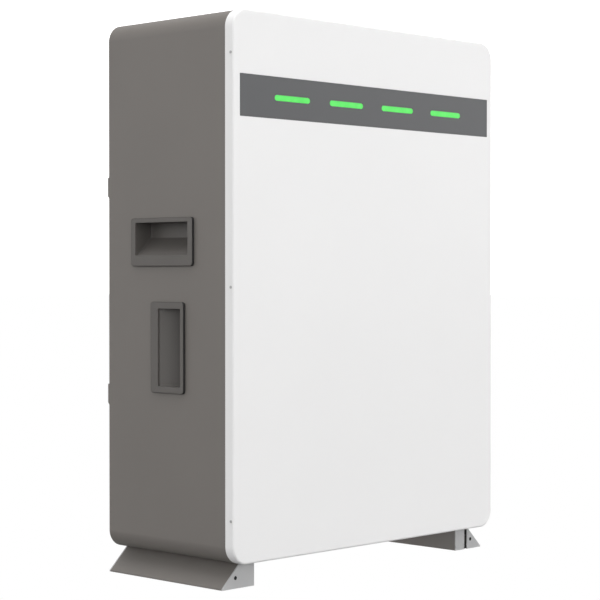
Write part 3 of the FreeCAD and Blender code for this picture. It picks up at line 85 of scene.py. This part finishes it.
GRIP_LIP = 4.5 * MM
GRIP_GASKET = 2.8 * MM
GRIP_CORNER = 5 * MM
GRIP_END_RIM = 9.85 * MM
GRIP_LOW_RIM = 16.1 * MM
GRIP_HIGH_RIM = 6.6 * MM
GRIP_MOUTH_CORNER = 1.2 * MM
GRIP_STEP = 4 * MM
GRIP_SLOPE_RUN = 26.7 * MM
GRIP_DEPTH = 28.5 * MM
GRIP_WALL = 2.5 * MM
GRIP_GAP = 0.5 * MM
GRIP_OVERLAP = 0.2 * MM
GRIP_HOLE_REACH = 10 * MM
HOLE_STEPS = 4
BEZEL_EDGE = 0.8 * MM
MOULDED_EDGE = 0.3 * MM
GASKET_EDGE = 0.2 * MM
GASKET_RIM = 0.2 * MM
GASKET_SETBACK = 0.3 * MM

BAR_STEPS = 28
RIM_STEPS = 3
LEAST_RADIUS = 0.01 * MM
WELD_DISTANCE = 2e-6
FLAT_ANGLE = 0.6
SHARP_ANGLE = 35
SHADING_MARGIN = 6
SHADING_WEIGHT = 90


# ---- Mesh helpers ---------------------------------------------------------------------------

def to_object(name, bm):
    """A new object from a bmesh, with its normals facing out."""
    bmesh.ops.recalc_face_normals(bm, faces=bm.faces)
    mesh = bpy.data.meshes.new(name)
    bm.to_mesh(mesh)
    bm.free()
    obj = bpy.data.objects.new(name, mesh)
    bpy.context.scene.collection.objects.link(obj)
    return obj


def discard(obj):
    """Delete an object and its mesh."""
    mesh = obj.data
    bpy.data.objects.remove(obj)
    bpy.data.meshes.remove(mesh)


def apply_modifiers(obj):
    """Swap the object's mesh for what its modifiers make of it."""
    graph = bpy.context.evaluated_depsgraph_get()
    made = bpy.data.meshes.new_from_object(obj.evaluated_get(graph))
    obj.modifiers.clear()
    old = obj.data
    obj.data = made
    made.name = obj.name
    bpy.data.meshes.remove(old)


def rounded_outline(width, height, radius, steps=CORNER_STEPS):
    """Points of a rectangle with round corners, once round, as (across, up)."""
    points = []
    for corner, (sign_u, sign_v) in enumerate([(1, 1), (-1, 1), (-1, -1), (1, -1)]):
        for step in range(steps + 1):
            angle = math.radians(90 * (corner + step / steps))
            points.append((sign_u * (width / 2 - radius) + radius * math.cos(angle),
                           sign_v * (height / 2 - radius) + radius * math.sin(angle)))
    return points


def case_ring(inset, y):
    """The cabinet's front outline drawn in by inset, at one depth."""
    outline = rounded_outline(CASE_WIDTH - 2 * inset, CASE_HEIGHT - 2 * inset, CORNER_RADIUS - inset)
    return [Vector((u, y, CASE_MIDDLE + v)) for u, v in outline]


def loft(rings, closed=False):
    """Skin over rings of equal length: capped at both ends, or joined last to first."""
    bm = bmesh.new()
    loops = [[bm.verts.new(point) for point in ring] for ring in rings]
    count = len(loops[0])
    pairs = list(zip(loops, loops[1:]))
    if closed:
        pairs.append((loops[-1], loops[0]))
    else:
        bm.faces.new(loops[0])
        bm.faces.new(reversed(loops[-1]))
    for low, high in pairs:
        for index in range(count):
            after = (index + 1) % count
            bm.faces.new((low[index], low[after], high[after], high[index]))
    return bm


def block(low, high):
    """Closed box between two corners, as a cutter."""
    bm = bmesh.new()
    bmesh.ops.create_cube(bm, size=1)
    low, high = Vector(low), Vector(high)
    for vert in bm.verts:
        vert.co = (low + high) / 2 + Vector(a * b for a, b in zip(vert.co, high - low))
    return to_object("cutter", bm)


def bar(start, direction, radius, length):
    """Round bar as a cutter."""
    side = Y if abs(direction.y) < 0.5 else X
    up = direction.cross(side)
    rings = []
    for along in (0, length):
        centre = start + direction * along
        ring = []
        for step in range(BAR_STEPS):
            angle = 2 * math.pi * step / BAR_STEPS
            ring.append(centre + side * (radius * math.cos(angle)) + up * (radius * math.sin(angle)))
        rings.append(ring)
    return to_object("cutter", loft(rings))


def slab(low_z, high_z, width, height, radius, centre=(0, 0), steps=EDGE_STEPS, rim=0.0):
    """Rounded rectangle between two heights of its own Z, its top edge rounded by rim."""
    profile = [(0.0, low_z), (0.0, high_z - rim)]
    if rim:
        for step in range(1, RIM_STEPS + 1):
            angle = math.radians(90 * step / RIM_STEPS)
            profile.append((rim * (1 - math.cos(angle)), high_z - rim + rim * math.sin(angle)))
    rings = []
    for inset, z in profile:
        outline = rounded_outline(width - 2 * inset, height - 2 * inset,
                                  max(radius - inset, LEAST_RADIUS), steps)
        rings.append([Vector((centre[0] + u, centre[1] + v, z)) for u, v in outline])
    return to_object("part", loft(rings))


def prism(points, low_x, high_x):
    """Outline in own Y and Z pulled along own X."""
    return to_object("part", loft([[Vector((x, y, z)) for y, z in points] for x in (low_x, high_x)]))


def placed(obj, origin, u, v):
    """Turn a piece so that its own X lies along u and its Y along v, and move it to origin."""
    w = u.cross(v)
    turn = Matrix((u, v, w)).transposed().to_4x4()
    obj.data.transform(Matrix.Translation(origin) @ turn)
    return obj


def merged(objects):
    """One bmesh that holds the meshes of several objects, which are deleted."""
    bm = bmesh.new()
    for obj in objects:
        bm.from_mesh(obj.data)
        discard(obj)
    return bm


def combine(obj, tool, operation, crossing=False):
    """Join a tool onto the object or take it out; crossing is for a tool whose solids cross."""
    modifier = obj.modifiers.new("combine", "BOOLEAN")
    modifier.operation = operation
    modifier.solver = "EXACT"
    modifier.use_self = crossing
    modifier.object = tool
    bpy.context.view_layer.update()
    apply_modifiers(obj)
    discard(tool)
    return obj


def cut(obj, cutters):
    """Take the cutters out of the object."""
    return combine(obj, to_object("cutter", merged(cutters)), "DIFFERENCE", crossing=True)


def soften(obj, width, segments=2):
    """Round the object's sharp edges and even out its shading."""
    if width:
        bevel = obj.modifiers.new("edges", "BEVEL")
        bevel.width = width
        bevel.segments = segments
        bevel.limit_method = "ANGLE"
        bevel.angle_limit = math.radians(SHARP_ANGLE)
        bevel.miter_outer = "MITER_ARC"
        bevel.use_clamp_overlap = True
        apply_modifiers(obj)
    obj.data.shade_smooth()
    obj.data.set_sharp_from_angle(angle=math.radians(SHARP_ANGLE + SHADING_MARGIN))
    weighted = obj.modifiers.new("shading", "WEIGHTED_NORMAL")
    weighted.keep_sharp = True
    weighted.weight = SHADING_WEIGHT
    apply_modifiers(obj)
    return obj


def joined(name, objects):
    """One piece made of several."""
    return soften(to_object(name, merged(objects)), 0)


def welded(node):
    """A bmesh of a CAD node with its doubled points merged."""
    bm = bmesh.new()
    bm.from_mesh(NODES[node].data)
    bmesh.ops.remove_doubles(bm, verts=bm.verts, dist=WELD_DISTANCE)
    return bm


def cad_copy(name, node):
    """A copy of a CAD node's mesh with its flat faces whole again."""
    bm = welded(node)
    bmesh.ops.dissolve_limit(bm, angle_limit=math.radians(FLAT_ANGLE), use_dissolve_boundaries=False,
                             verts=bm.verts, edges=bm.edges)
    return to_object(name, bm)


# ---- Material helpers -------------------------------------------------------------------------

def new_material(name, kind="ShaderNodeBsdfPrincipled"):
    """A node material with one shader; returns the material, its nodes, its links and the shader."""
    material = bpy.data.materials.new(name)
    material.use_nodes = True
    nodes = material.node_tree.nodes
    links = material.node_tree.links
    nodes.clear()
    output = nodes.new("ShaderNodeOutputMaterial")
    shader = nodes.new(kind)
    links.new(shader.outputs[0], output.inputs["Surface"])
    return material, nodes, links, shader


def place(nodes, links, stretch=(1, 1, 1)):
    """Object coordinates in metres, stretched."""
    coordinates = nodes.new("ShaderNodeTexCoord")
    mapping = nodes.new("ShaderNodeMapping")
    mapping.inputs["Scale"].default_value = stretch
    links.new(coordinates.outputs["Object"], mapping.inputs["Vector"])
    return mapping.outputs["Vector"]


def noise(nodes, links, vector, scale, detail=2.0, rough=0.5):
    """Noise whose cells are about 1 / scale metres across."""
    node = nodes.new("ShaderNodeTexNoise")
    node.inputs["Scale"].default_value = scale
    node.inputs["Detail"].default_value = detail
    node.inputs["Roughness"].default_value = rough
    links.new(vector, node.inputs["Vector"])
    return node.outputs["Fac"]


def cells(nodes, links, vector, scale):
    """Distance to the nearest of scattered points about 1 / scale metres apart."""
    node = nodes.new("ShaderNodeTexVoronoi")
    node.feature = "SMOOTH_F1"
    node.inputs["Scale"].default_value = scale
    links.new(vector, node.inputs["Vector"])
    return node.outputs["Distance"]


def spread(nodes, links, value, low, high, start=0.3, end=0.7):
    """A value between start and end turned into one between low and high."""
    node = nodes.new("ShaderNodeMapRange")
    node.inputs["From Min"].default_value = start
    node.inputs["From Max"].default_value = end
    node.inputs["To Min"].default_value = low
    node.inputs["To Max"].default_value = high
    links.new(value, node.inputs["Value"])
    return node.outputs["Result"]


def tinted(nodes, links, factor, first, second):
    """A colour between two, by factor."""
    node = nodes.new("ShaderNodeMix")
    node.data_type = "RGBA"
    node.inputs["A"].default_value = (*first, 1)
    node.inputs["B"].default_value = (*second, 1)
    links.new(factor, node.inputs["Factor"])
    return node.outputs["Result"]


def relief(nodes, links, shader, heights):
    """Bumps from (height, depth in metres, strength) layers, one on the other."""
    normal = None
    for height, depth, strength in heights:
        bump = nodes.new("ShaderNodeBump")
        bump.inputs["Distance"].default_value = depth
        bump.inputs["Strength"].default_value = strength
        links.new(height, bump.inputs["Height"])
        if normal is not None:
            links.new(normal, bump.inputs["Normal"])
        normal = bump.outputs["Normal"]
    links.new(normal, shader.inputs["Normal"])


def shades(colour, swing):
    """A darker and a lighter version of a colour."""
    return [c * (1 - swing) for c in colour], [min(1.0, c * (1 + swing)) for c in colour]


def finish(name, colour, roughness, swing=0.05, rough_swing=0.05, patch=9, grain=900, grain_depth=0.05,
           pits=0, pit_depth=0.05, metallic=0.0, specular=0.5, alpha=1.0, stretch=(1, 1, 1)):
    """A surface with slow colour patches, uneven roughness, a fine grain and small pits.

    Patch, grain and pits are counts per metre, and the depths are in millimetres.
    """
    material, nodes, links, shader = new_material(name)
    vector = place(nodes, links, stretch)
    patches = noise(nodes, links, vector, patch, 3.0)
    fine = noise(nodes, links, vector, grain, 3.0, 0.6)
    mixed = spread(nodes, links, patches, 0.0, 1.0)
    links.new(tinted(nodes, links, mixed, *shades(colour, swing)), shader.inputs["Base Color"])
    links.new(spread(nodes, links, fine, roughness - rough_swing, roughness + rough_swing),
              shader.inputs["Roughness"])
    layers = [(fine, grain_depth * MM, 1.0)]
    if pits:
        layers.append((cells(nodes, links, vector, pits), pit_depth * MM, 1.0))
    relief(nodes, links, shader, layers)
    shader.inputs["Metallic"].default_value = metallic
    shader.inputs["Specular IOR Level"].default_value = specular
    shader.inputs["Alpha"].default_value = alpha
    return material


def green_light():
    """Frosted light guide, lit from behind, its glow a little uneven in soft patches."""
    material, nodes, links, shader = new_material("green_light")
    vector = place(nodes, links)
    cloud = spread(nodes, links, noise(nodes, links, vector, 60, 2.0), 0.0, 1.0)
    links.new(tinted(nodes, links, cloud, (0.02, 0.34, 0.035), (0.03, 0.38, 0.045)),
              shader.inputs["Base Color"])
    links.new(tinted(nodes, links, cloud, (0.03, 0.39, 0.034), (0.042, 0.42, 0.046)),
              shader.inputs["Emission Color"])
    fine = noise(nodes, links, vector, 1500, 2.0)
    links.new(spread(nodes, links, fine, 0.3, 0.42), shader.inputs["Roughness"])
    relief(nodes, links, shader, [(fine, 0.02 * MM, 1.0)])
    shader.inputs["Emission Strength"].default_value = 1.0
    return material


def circuit_board():
    """Green board with tracks and pads under its varnish."""
    material, nodes, links, shader = new_material("circuit_board")
    vector = place(nodes, links)
    tracks = nodes.new("ShaderNodeTexBrick")
    tracks.inputs["Scale"].default_value = 120
    tracks.inputs["Mortar Size"].default_value = 0.05
    tracks.inputs["Color1"].default_value = (0.010, 0.10, 0.035, 1)
    tracks.inputs["Color2"].default_value = (0.012, 0.12, 0.045, 1)
    tracks.inputs["Mortar"].default_value = (0.03, 0.22, 0.08, 1)
    turned = nodes.new("ShaderNodeMapping")
    turned.inputs["Rotation"].default_value = (math.radians(90), 0, 0)
    links.new(vector, turned.inputs["Vector"])
    links.new(turned.outputs["Vector"], tracks.inputs["Vector"])
    links.new(tracks.outputs["Color"], shader.inputs["Base Color"])
    fine = noise(nodes, links, vector, 700, 2.0)
    links.new(spread(nodes, links, fine, 0.28, 0.4), shader.inputs["Roughness"])
    relief(nodes, links, shader, [(tracks.outputs["Fac"], 0.03 * MM, 0.6), (fine, 0.01 * MM, 0.6)])
    return material


FINISHES = {
    "case_paint": dict(colour=(0.144, 0.132, 0.121), roughness=0.52, swing=0.03, patch=5,
                       grain_depth=0.03, pits=1500, pit_depth=0.03),
    "cover_paint": dict(colour=(0.738, 0.735, 0.735), roughness=0.42, swing=0.008, rough_swing=0.04,
                        patch=4, grain=700, grain_depth=0.02),
    "window_acrylic": dict(colour=(0.055, 0.056, 0.06), roughness=0.42, swing=0.02, rough_swing=0.03,
                           patch=7, grain=1100, grain_depth=0.01),
    "grip_plastic": dict(colour=(0.09, 0.083, 0.077), roughness=0.5, swing=0.04, patch=14, grain=1300,
                         grain_depth=0.03, pits=1900, pit_depth=0.03),
    "black_rubber": dict(colour=(0.016, 0.016, 0.016), roughness=0.75, swing=0.1, rough_swing=0.06,
                         patch=30, grain=1200),
    "foot_paint": dict(colour=(0.142, 0.131, 0.121), roughness=0.52, swing=0.03, patch=8,
                       grain_depth=0.03, pits=1500, pit_depth=0.03),
    "foot_end_paint": dict(colour=(0.405, 0.405, 0.408), roughness=0.5, swing=0.03, patch=18,
                           grain=1100, grain_depth=0.03),
    "black_steel": dict(colour=(0.008, 0.008, 0.008), roughness=0.5, swing=0.15, rough_swing=0.08,
                        patch=200, grain=1500, grain_depth=0.02, specular=0.25),
    "zinc_steel": dict(colour=(0.44, 0.44, 0.44), roughness=0.38, swing=0.06, patch=120, grain=600,
                       grain_depth=0.005, metallic=1.0),
    "cell_can": dict(colour=(0.03, 0.12, 0.38), roughness=0.38, swing=0.06, rough_swing=0.06, patch=20,
                     grain=500, grain_depth=0.02),
    "insulating_sheet": dict(colour=(0.72, 0.70, 0.62), roughness=0.6, patch=40, grain=800,
                             grain_depth=0.03),
    "copper": dict(colour=(0.72, 0.36, 0.21), roughness=0.32, patch=60, grain=500, grain_depth=0.004,
                   metallic=1.0),
    "aluminium_plate": dict(colour=(0.72, 0.73, 0.74), roughness=0.36, rough_swing=0.08, patch=10,
                            grain=120, grain_depth=0.02, metallic=1.0, stretch=(1, 14, 14)),
    "fuse_ceramic": dict(colour=(0.75, 0.73, 0.66), roughness=0.3, swing=0.04, patch=50, grain=500,
                         grain_depth=0.02),
    "black_plastic": dict(colour=(0.024, 0.024, 0.026), roughness=0.5, swing=0.08, rough_swing=0.06,
                          patch=40, grain=1400, grain_depth=0.04),
    "breaker_plastic": dict(colour=(0.66, 0.67, 0.67), roughness=0.45, swing=0.02, patch=30, grain=1400,
                            grain_depth=0.03),
    "red_plastic": dict(colour=(0.52, 0.03, 0.012), roughness=0.34, patch=40, grain=1200,
                        grain_depth=0.02),
    "smoked_plastic": dict(colour=(0.05, 0.05, 0.055), roughness=0.12, swing=0.06, rough_swing=0.03,
                           patch=12, grain=300, grain_depth=0.01, alpha=0.5),
    "button_metal": dict(colour=(0.62, 0.62, 0.62), roughness=0.32, swing=0.03, patch=30, grain=400,
                         grain_depth=0.004, metallic=1.0, stretch=(1, 1, 8)),
    "cable_sheath": dict(colour=(0.02, 0.02, 0.02), roughness=0.5, swing=0.1, rough_swing=0.06,
                         patch=60, grain_depth=0.03),
}
MATERIALS = {name: finish(name, **look) for name, look in FINISHES.items()}
MATERIALS["green_light"] = green_light()
MATERIALS["circuit_board"] = circuit_board()
SLOT_OF = {part["node"]: part["material_slot"] for part in frame["record"]["subparts"]}
BODY_OF = {node: body for body, members in frame["record"]["behaviour"]["bodies"].items()
           for node in members}


def stand_for(obj, *nodes):
    """Give a piece the material, slot and body of the CAD nodes that it stands for."""
    slot = SLOT_OF[nodes[0]]
    obj.data.materials.clear()
    obj.data.materials.append(MATERIALS[slot])
    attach(obj, BODY_OF[nodes[0]])
    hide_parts(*nodes)
    return obj


# ---- Grip cups -----------------------------------------------------------------------------

def grip_sites():
    """Origin, own X and own Y of each grip cup, by CAD node; own Z points out of the side."""
    sites = {}
    for side, sign in (("left", -1), ("right", 1)):
        outward = X * sign
        for shape, up in (("flat", Z), ("upright", -Y)):
            node = "grip_cup_" + side + "_" + shape
            low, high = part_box(node)
            centre = (low + high) / 2
            sites[node] = (Vector((sign * SIDE, centre.y, centre.z)), up.cross(outward), up)
    return sites


def grip_size():
    """Length and height of the cups' bezels."""
    low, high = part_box("grip_cup_left_flat")
    return high.y - low.y, high.z - low.z


GRIP_LENGTH, GRIP_HEIGHT = grip_size()
MOUTH_HALF = GRIP_LENGTH / 2 - GRIP_END_RIM
MOUTH_LOW = GRIP_LOW_RIM - GRIP_HEIGHT / 2
MOUTH_HIGH = GRIP_HEIGHT / 2 - GRIP_HIGH_RIM
MOUTH_MIDDLE = (MOUTH_LOW + MOUTH_HIGH) / 2


def grip_hole():
    """The hole that a cup's body passes through."""
    margin = GRIP_WALL + GRIP_GAP
    return slab(-GRIP_HOLE_REACH, GRIP_HOLE_REACH, 2 * (MOUTH_HALF + margin),
                MOUTH_HIGH - MOUTH_LOW + 2 * margin, margin, (0, MOUTH_MIDDLE), HOLE_STEPS)


def bezel_slab(low_z, high_z, rim=0.0):
    """A slab with the bezel's outline, which lies just inside the gasket's edge."""
    return slab(low_z, high_z, GRIP_LENGTH - 2 * GASKET_EDGE, GRIP_HEIGHT - 2 * GASKET_EDGE,
                GRIP_CORNER - GASKET_EDGE, rim=rim)


def cup_outside(step_z, slope_end, lean):
    """Outline of the cup's body in own Y and Z: its slope lies one wall outside the inner one."""
    shift = GRIP_WALL * math.hypot(1, lean)
    top_z = GRIP_GASKET + GRIP_OVERLAP
    back_z = -GRIP_DEPTH - GRIP_WALL
    outer_low = MOUTH_LOW - GRIP_WALL
    outer_high = MOUTH_HIGH + GRIP_WALL
    return [(outer_low, top_z), (outer_low, step_z - (shift - GRIP_WALL) / lean),
            (slope_end + GRIP_WALL * lean - shift, back_z), (outer_high, back_z), (outer_high, top_z)]


def grip_cup():
    """Moulded cup: a rounded bezel, a step below its mouth, a sloping floor and a deep end."""
    step_z = GRIP_LIP - GRIP_STEP
    slope_end = MOUTH_LOW + GRIP_SLOPE_RUN
    lean = GRIP_SLOPE_RUN / (step_z + GRIP_DEPTH)
    outer_half = MOUTH_HALF + GRIP_WALL
    body = prism(cup_outside(step_z, slope_end, lean), -outer_half, outer_half)
    cup = combine(bezel_slab(GRIP_GASKET, GRIP_LIP, BEZEL_EDGE), body, "UNION")
    hollow = [(MOUTH_LOW, GRIP_LIP + MM), (MOUTH_LOW, step_z), (slope_end, -GRIP_DEPTH),
              (MOUTH_HIGH, -GRIP_DEPTH), (MOUTH_HIGH, GRIP_LIP + MM)]
    space = soften(prism(hollow, -MOUTH_HALF, MOUTH_HALF), GRIP_MOUTH_CORNER, 3)
    return soften(cut(cup, [space]), MOULDED_EDGE)


def grip_gasket():
    """Rubber ring under the bezel, turned up round its edge."""
    ring = slab(0, GRIP_LIP - GASKET_SETBACK, GRIP_LENGTH, GRIP_HEIGHT, GRIP_CORNER, rim=GASKET_RIM)
    return soften(cut(ring, [bezel_slab(GRIP_GASKET, GRIP_LIP + MM), grip_hole()]), 0)


# ---- Cabinet ----------------------------------------------------------------------------------

def arc_rings(centre_inset, centre_y, radius, start, end):
    """Rings of a rounded edge, from one angle to another; 0 faces outwards and 90 the front."""
    rings = []
    for step in range(EDGE_STEPS + 1):
        angle = math.radians(start + (end - start) * step / EDGE_STEPS)
        rings.append(case_ring(centre_inset - radius * math.cos(angle), centre_y - radius * math.sin(angle)))
    return rings


def front_cover():
    """Folded cover with a rounded front edge, open behind, with the window's cut-out."""
    front, back = cover_low.y, cover_high.y
    inner_edge = COVER_EDGE - COVER_SHEET
    rings = arc_rings(COVER_EDGE, front + COVER_EDGE, inner_edge, 90, 0)
    rings.append(case_ring(COVER_SHEET, back))
    rings.append(case_ring(0, back))
    rings.extend(arc_rings(COVER_EDGE, front + COVER_EDGE, COVER_EDGE, 0, 90))
    cover = to_object("cover", loft(rings))
    cutters = [block((strip_low.x + WINDOW_FLANGE, front - CUT_REACH, strip_low.z + WINDOW_FLANGE),
                     (strip_high.x - WINDOW_FLANGE, front + CUT_REACH, strip_high.z - WINDOW_FLANGE))]
    for screw_low, screw_high in screw_boxes("cover_screws"):
        centre = (screw_low + screw_high) / 2
        cutters.append(bar(Vector((centre.x - 2 * CUT_REACH, centre.y, centre.z)), X,
                           COVER_SCREW_HOLE, 4 * CUT_REACH))
    return soften(cut(cover, cutters), FOLDED_EDGE)


def islands(node):
    """The separate solids of a CAD node, as lists of points."""
    bm = welded(node)
    left = set(bm.verts)
    groups = []
    while left:
        stack = [left.pop()]
        found = []
        while stack:
            vert = stack.pop()
            found.append(vert.co.copy())
            for edge in vert.link_edges:
                other = edge.other_vert(vert)
                if other in left:
                    left.remove(other)
                    stack.append(other)
        groups.append(found)
    bm.free()
    return groups


def box_of(points):
    """Lowest and highest corner of some points."""
    return (Vector(min(p[axis] for p in points) for axis in range(3)),
            Vector(max(p[axis] for p in points) for axis in range(3)))


def screw_boxes(node):
    """Boxes of a node's separate solids."""
    return [box_of(points) for points in islands(node)]


def wrap():
    """Bent steel sides, top and floor, with the grip cups' holes and the connection bay's opening cut in
    them.
    """
    front, back = wrap_low.y, wrap_high.y
    rings = [case_ring(0, front), case_ring(0, back), case_ring(WRAP_SHEET, back),
             case_ring(WRAP_SHEET, front)]
    shell = to_object("wrap", loft(rings, closed=True))
    cutters = [placed(grip_hole(), *site) for site in grip_sites().values()]
    bay = [v.co for v in NODES["connection_bay"].data.vertices if v.co.x < SIDE - BAY_LIP_DEPTH]
    low, high = box_of(bay)
    cutters.append(block((SIDE - CUT_REACH, low.y - BAY_GAP, low.z - BAY_GAP),
                         (SIDE + CUT_REACH, high.y + BAY_GAP, high.z + BAY_GAP)))
    return soften(cut(shell, cutters), FOLDED_EDGE)


def back_panel():
    """Flat back, welded inside the wrap, bored for the hooks' screws."""
    rings = [case_ring(WRAP_SHEET, rear_low.y), case_ring(WRAP_SHEET, rear_high.y)]
    panel = to_object("back_panel", loft(rings))
    cutters = []
    for low, high in screw_boxes("hook_screws"):
        centre = (low + high) / 2
        cutters.append(bar(Vector((centre.x, rear_low.y - CUT_REACH, centre.z)), Y,
                           HOOK_SCREW_HOLE, 3 * CUT_REACH))
    return soften(cut(panel, cutters), FOLDED_EDGE)


gaskets = []
for number, (node_name, site) in enumerate(grip_sites().items(), 1):
    cup = placed(grip_cup(), *site)
    cup.name = "grip_cup_%d" % number
    stand_for(cup, node_name)
    gaskets.append(placed(grip_gasket(), *site))
stand_for(joined("grip_gaskets", gaskets), "grip_seals")
stand_for(front_cover(), "front_cover")
stand_for(wrap(), "case_shell")
stand_for(back_panel(), "rear_panel")


# ---- Pieces that keep the CAD node's shape, with softened edges ---------------------------------

# Name of the piece, its CAD node, and the width of its softened edges in millimetres.
REFINED = [
    ("status_window", "window_strip", 0.2), ("light_guides", "light_bars", 0.4),
    ("foot_channel_left", "foot_left", 0.5), ("foot_channel_right", "foot_right", 0.5),
    ("foot_plates", "foot_end_plates", 0.3), ("foot_plate_screws", "foot_end_screws", 0.15),
    ("foot_fasteners", "foot_bolts", 0.3),
    ("hook_left_low", "wall_hook_left_lower", 0.5), ("hook_left_high", "wall_hook_left_upper", 0.5),
    ("hook_right_low", "wall_hook_right_lower", 0.5), ("hook_right_high", "wall_hook_right_upper", 0.5),
    ("hook_fasteners", "hook_screws", 0.3), ("cover_fasteners", "cover_screws", 0.15),
    ("bay_tray", "connection_bay", 0.4), ("bay_plate", "bay_back_plate", 0.4),
    ("bay_fasteners", "bay_screws", 0.25),
    ("breaker", "breaker_body", 0.6), ("breaker_lever", "breaker_toggle", 0.4),
    ("breaker_window", "breaker_flap", 0.4), ("breaker_window_pin", "flap_pin", 0.2),
    ("power_cap_button", "power_button", 0.3), ("reset_cap_button", "reset_button", 0.2),
    ("button_bezels", "button_housings", 0.3), ("data_sockets", "comm_ports", 0.25),
    ("terminal_blocks_red", "terminals_positive", 0.6), ("terminal_blocks_black", "terminals_negative", 0.6),
    ("threaded_inserts", "terminal_inserts", 0.3), ("earthing_stud", "earth_stud", 0.3),
    ("breather", "vent_plug", 0.5),
]
for piece_name, node_name, edge in REFINED:
    stand_for(soften(cad_copy(piece_name, node_name), edge * MM), node_name)

for node_name, cad_object in NODES.items():
    cad_object.data.materials.clear()
    cad_object.data.materials.append(MATERIALS[SLOT_OF[node_name]])


# ---- Stage, light and camera ----------------------------------------------------------------------

FLOOR_REACH = 30
FLOOR_SHOWN = 1.0
FLOOR_BOUNCE = 0.33
FOOT_EDGE = 3 * MM
SHADE_RISE = 0.1 * MM
BAND_LIGHT = 2.85
UPPER_LIGHT = 0.82
TOP_LIGHT = 4.35
BAND_FALL = (0.22, 0.42)
TOP_RISE = (0.8, 0.95)
FRONT_SHARE = 0.33
FILL_WIDTH = 0.24
FILL_HEIGHT = 0.034
FILL_POWER = 0.8
SHADE_COLOUR = (0.05, 0.05, 0.05, 1)
CAMERA_LENS = 109.25
CAMERA_SENSOR = 36
CAMERA_PLACE = (-2.1169, -2.0338, 0.4592)
CAMERA_TIP = 0.811
CAMERA_TURN = 46.03


def stage_floor():
    """White floor: it shows full white, and throws less light back than it shows."""
    bm = bmesh.new()
    bmesh.ops.create_grid(bm, x_segments=4, y_segments=4, size=FLOOR_REACH)
    floor = to_object("floor", bm)
    material, nodes, links, glow = new_material("floor", "ShaderNodeEmission")
    path = nodes.new("ShaderNodeLightPath")
    links.new(spread(nodes, links, path.outputs["Is Camera Ray"], FLOOR_BOUNCE, FLOOR_SHOWN, 0, 1),
              glow.inputs["Strength"])
    floor.data.materials.append(material)


def shaded_floor():
    """Dark patches on the floor inside the closed feet, where no light reaches."""
    material, _, _, shade = new_material("shaded_floor", "ShaderNodeBsdfDiffuse")
    shade.inputs["Color"].default_value = SHADE_COLOUR
    for node in ("foot_left", "foot_right"):
        low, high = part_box(node)
        patch = block((low.x + FOOT_EDGE, low.y + FOOT_EDGE, 0),
                      (high.x - FOOT_EDGE, high.y - FOOT_EDGE, SHADE_RISE))
        patch.name = "shade_" + node
        patch.data.materials.append(material)


def studio_world():
    """White dome: a bright band above the horizon, a bright top, and more light in front."""
    world = bpy.data.worlds.new("studio")
    bpy.context.scene.world = world
    world.use_nodes = True
    nodes = world.node_tree.nodes
    links = world.node_tree.links
    nodes.clear()
    output = nodes.new("ShaderNodeOutputWorld")
    dome = nodes.new("ShaderNodeBackground")
    coordinates = nodes.new("ShaderNodeTexCoord")
    split = nodes.new("ShaderNodeSeparateXYZ")
    links.new(coordinates.outputs["Generated"], split.inputs["Vector"])
    band = spread(nodes, links, split.outputs["Z"], BAND_LIGHT, UPPER_LIGHT, *BAND_FALL)
    top = spread(nodes, links, split.outputs["Z"], 0.0, TOP_LIGHT, *TOP_RISE)
    front = spread(nodes, links, split.outputs["Y"], 1 + FRONT_SHARE, 1 - FRONT_SHARE, -1, 1)
    both = nodes.new("ShaderNodeMath")
    links.new(band, both.inputs[0])
    links.new(top, both.inputs[1])
    product = nodes.new("ShaderNodeMath")
    product.operation = "MULTIPLY"
    links.new(both.outputs["Value"], product.inputs[0])
    links.new(front, product.inputs[1])
    links.new(product.outputs["Value"], dome.inputs["Strength"])
    links.new(dome.outputs["Background"], output.inputs["Surface"])


def under_fill():
    """Low soft light between the feet, facing +X, which keeps the far foot from going black."""
    data = bpy.data.lights.new("under_fill", "AREA")
    data.shape = "RECTANGLE"
    data.size = FILL_WIDTH
    data.size_y = FILL_HEIGHT
    data.energy = FILL_POWER
    light = bpy.data.objects.new("under_fill", data)
    low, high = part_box("foot_right")
    light.location = (0, (low.y + high.y) / 2, (low.z + high.z) / 2)
    light.rotation_euler = X.to_track_quat("-Z", "Z").to_euler()
    light.visible_camera = False
    bpy.context.scene.collection.objects.link(light)


def front_camera():
    """The camera, left of the front and a little above the cabinet's middle, tipped slightly down."""
    data = bpy.data.cameras.new("camera")
    data.lens = CAMERA_LENS
    data.sensor_width = CAMERA_SENSOR
    camera = bpy.data.objects.new("camera", data)
    camera.location = CAMERA_PLACE
    camera.rotation_euler = (math.radians(90 - CAMERA_TIP), 0, math.radians(-CAMERA_TURN))
    bpy.context.scene.collection.objects.link(camera)
    bpy.context.scene.camera = camera


stage_floor()
shaded_floor()
studio_world()
under_fill()
front_camera()
bpy.context.scene.view_settings.view_transform = "Standard"
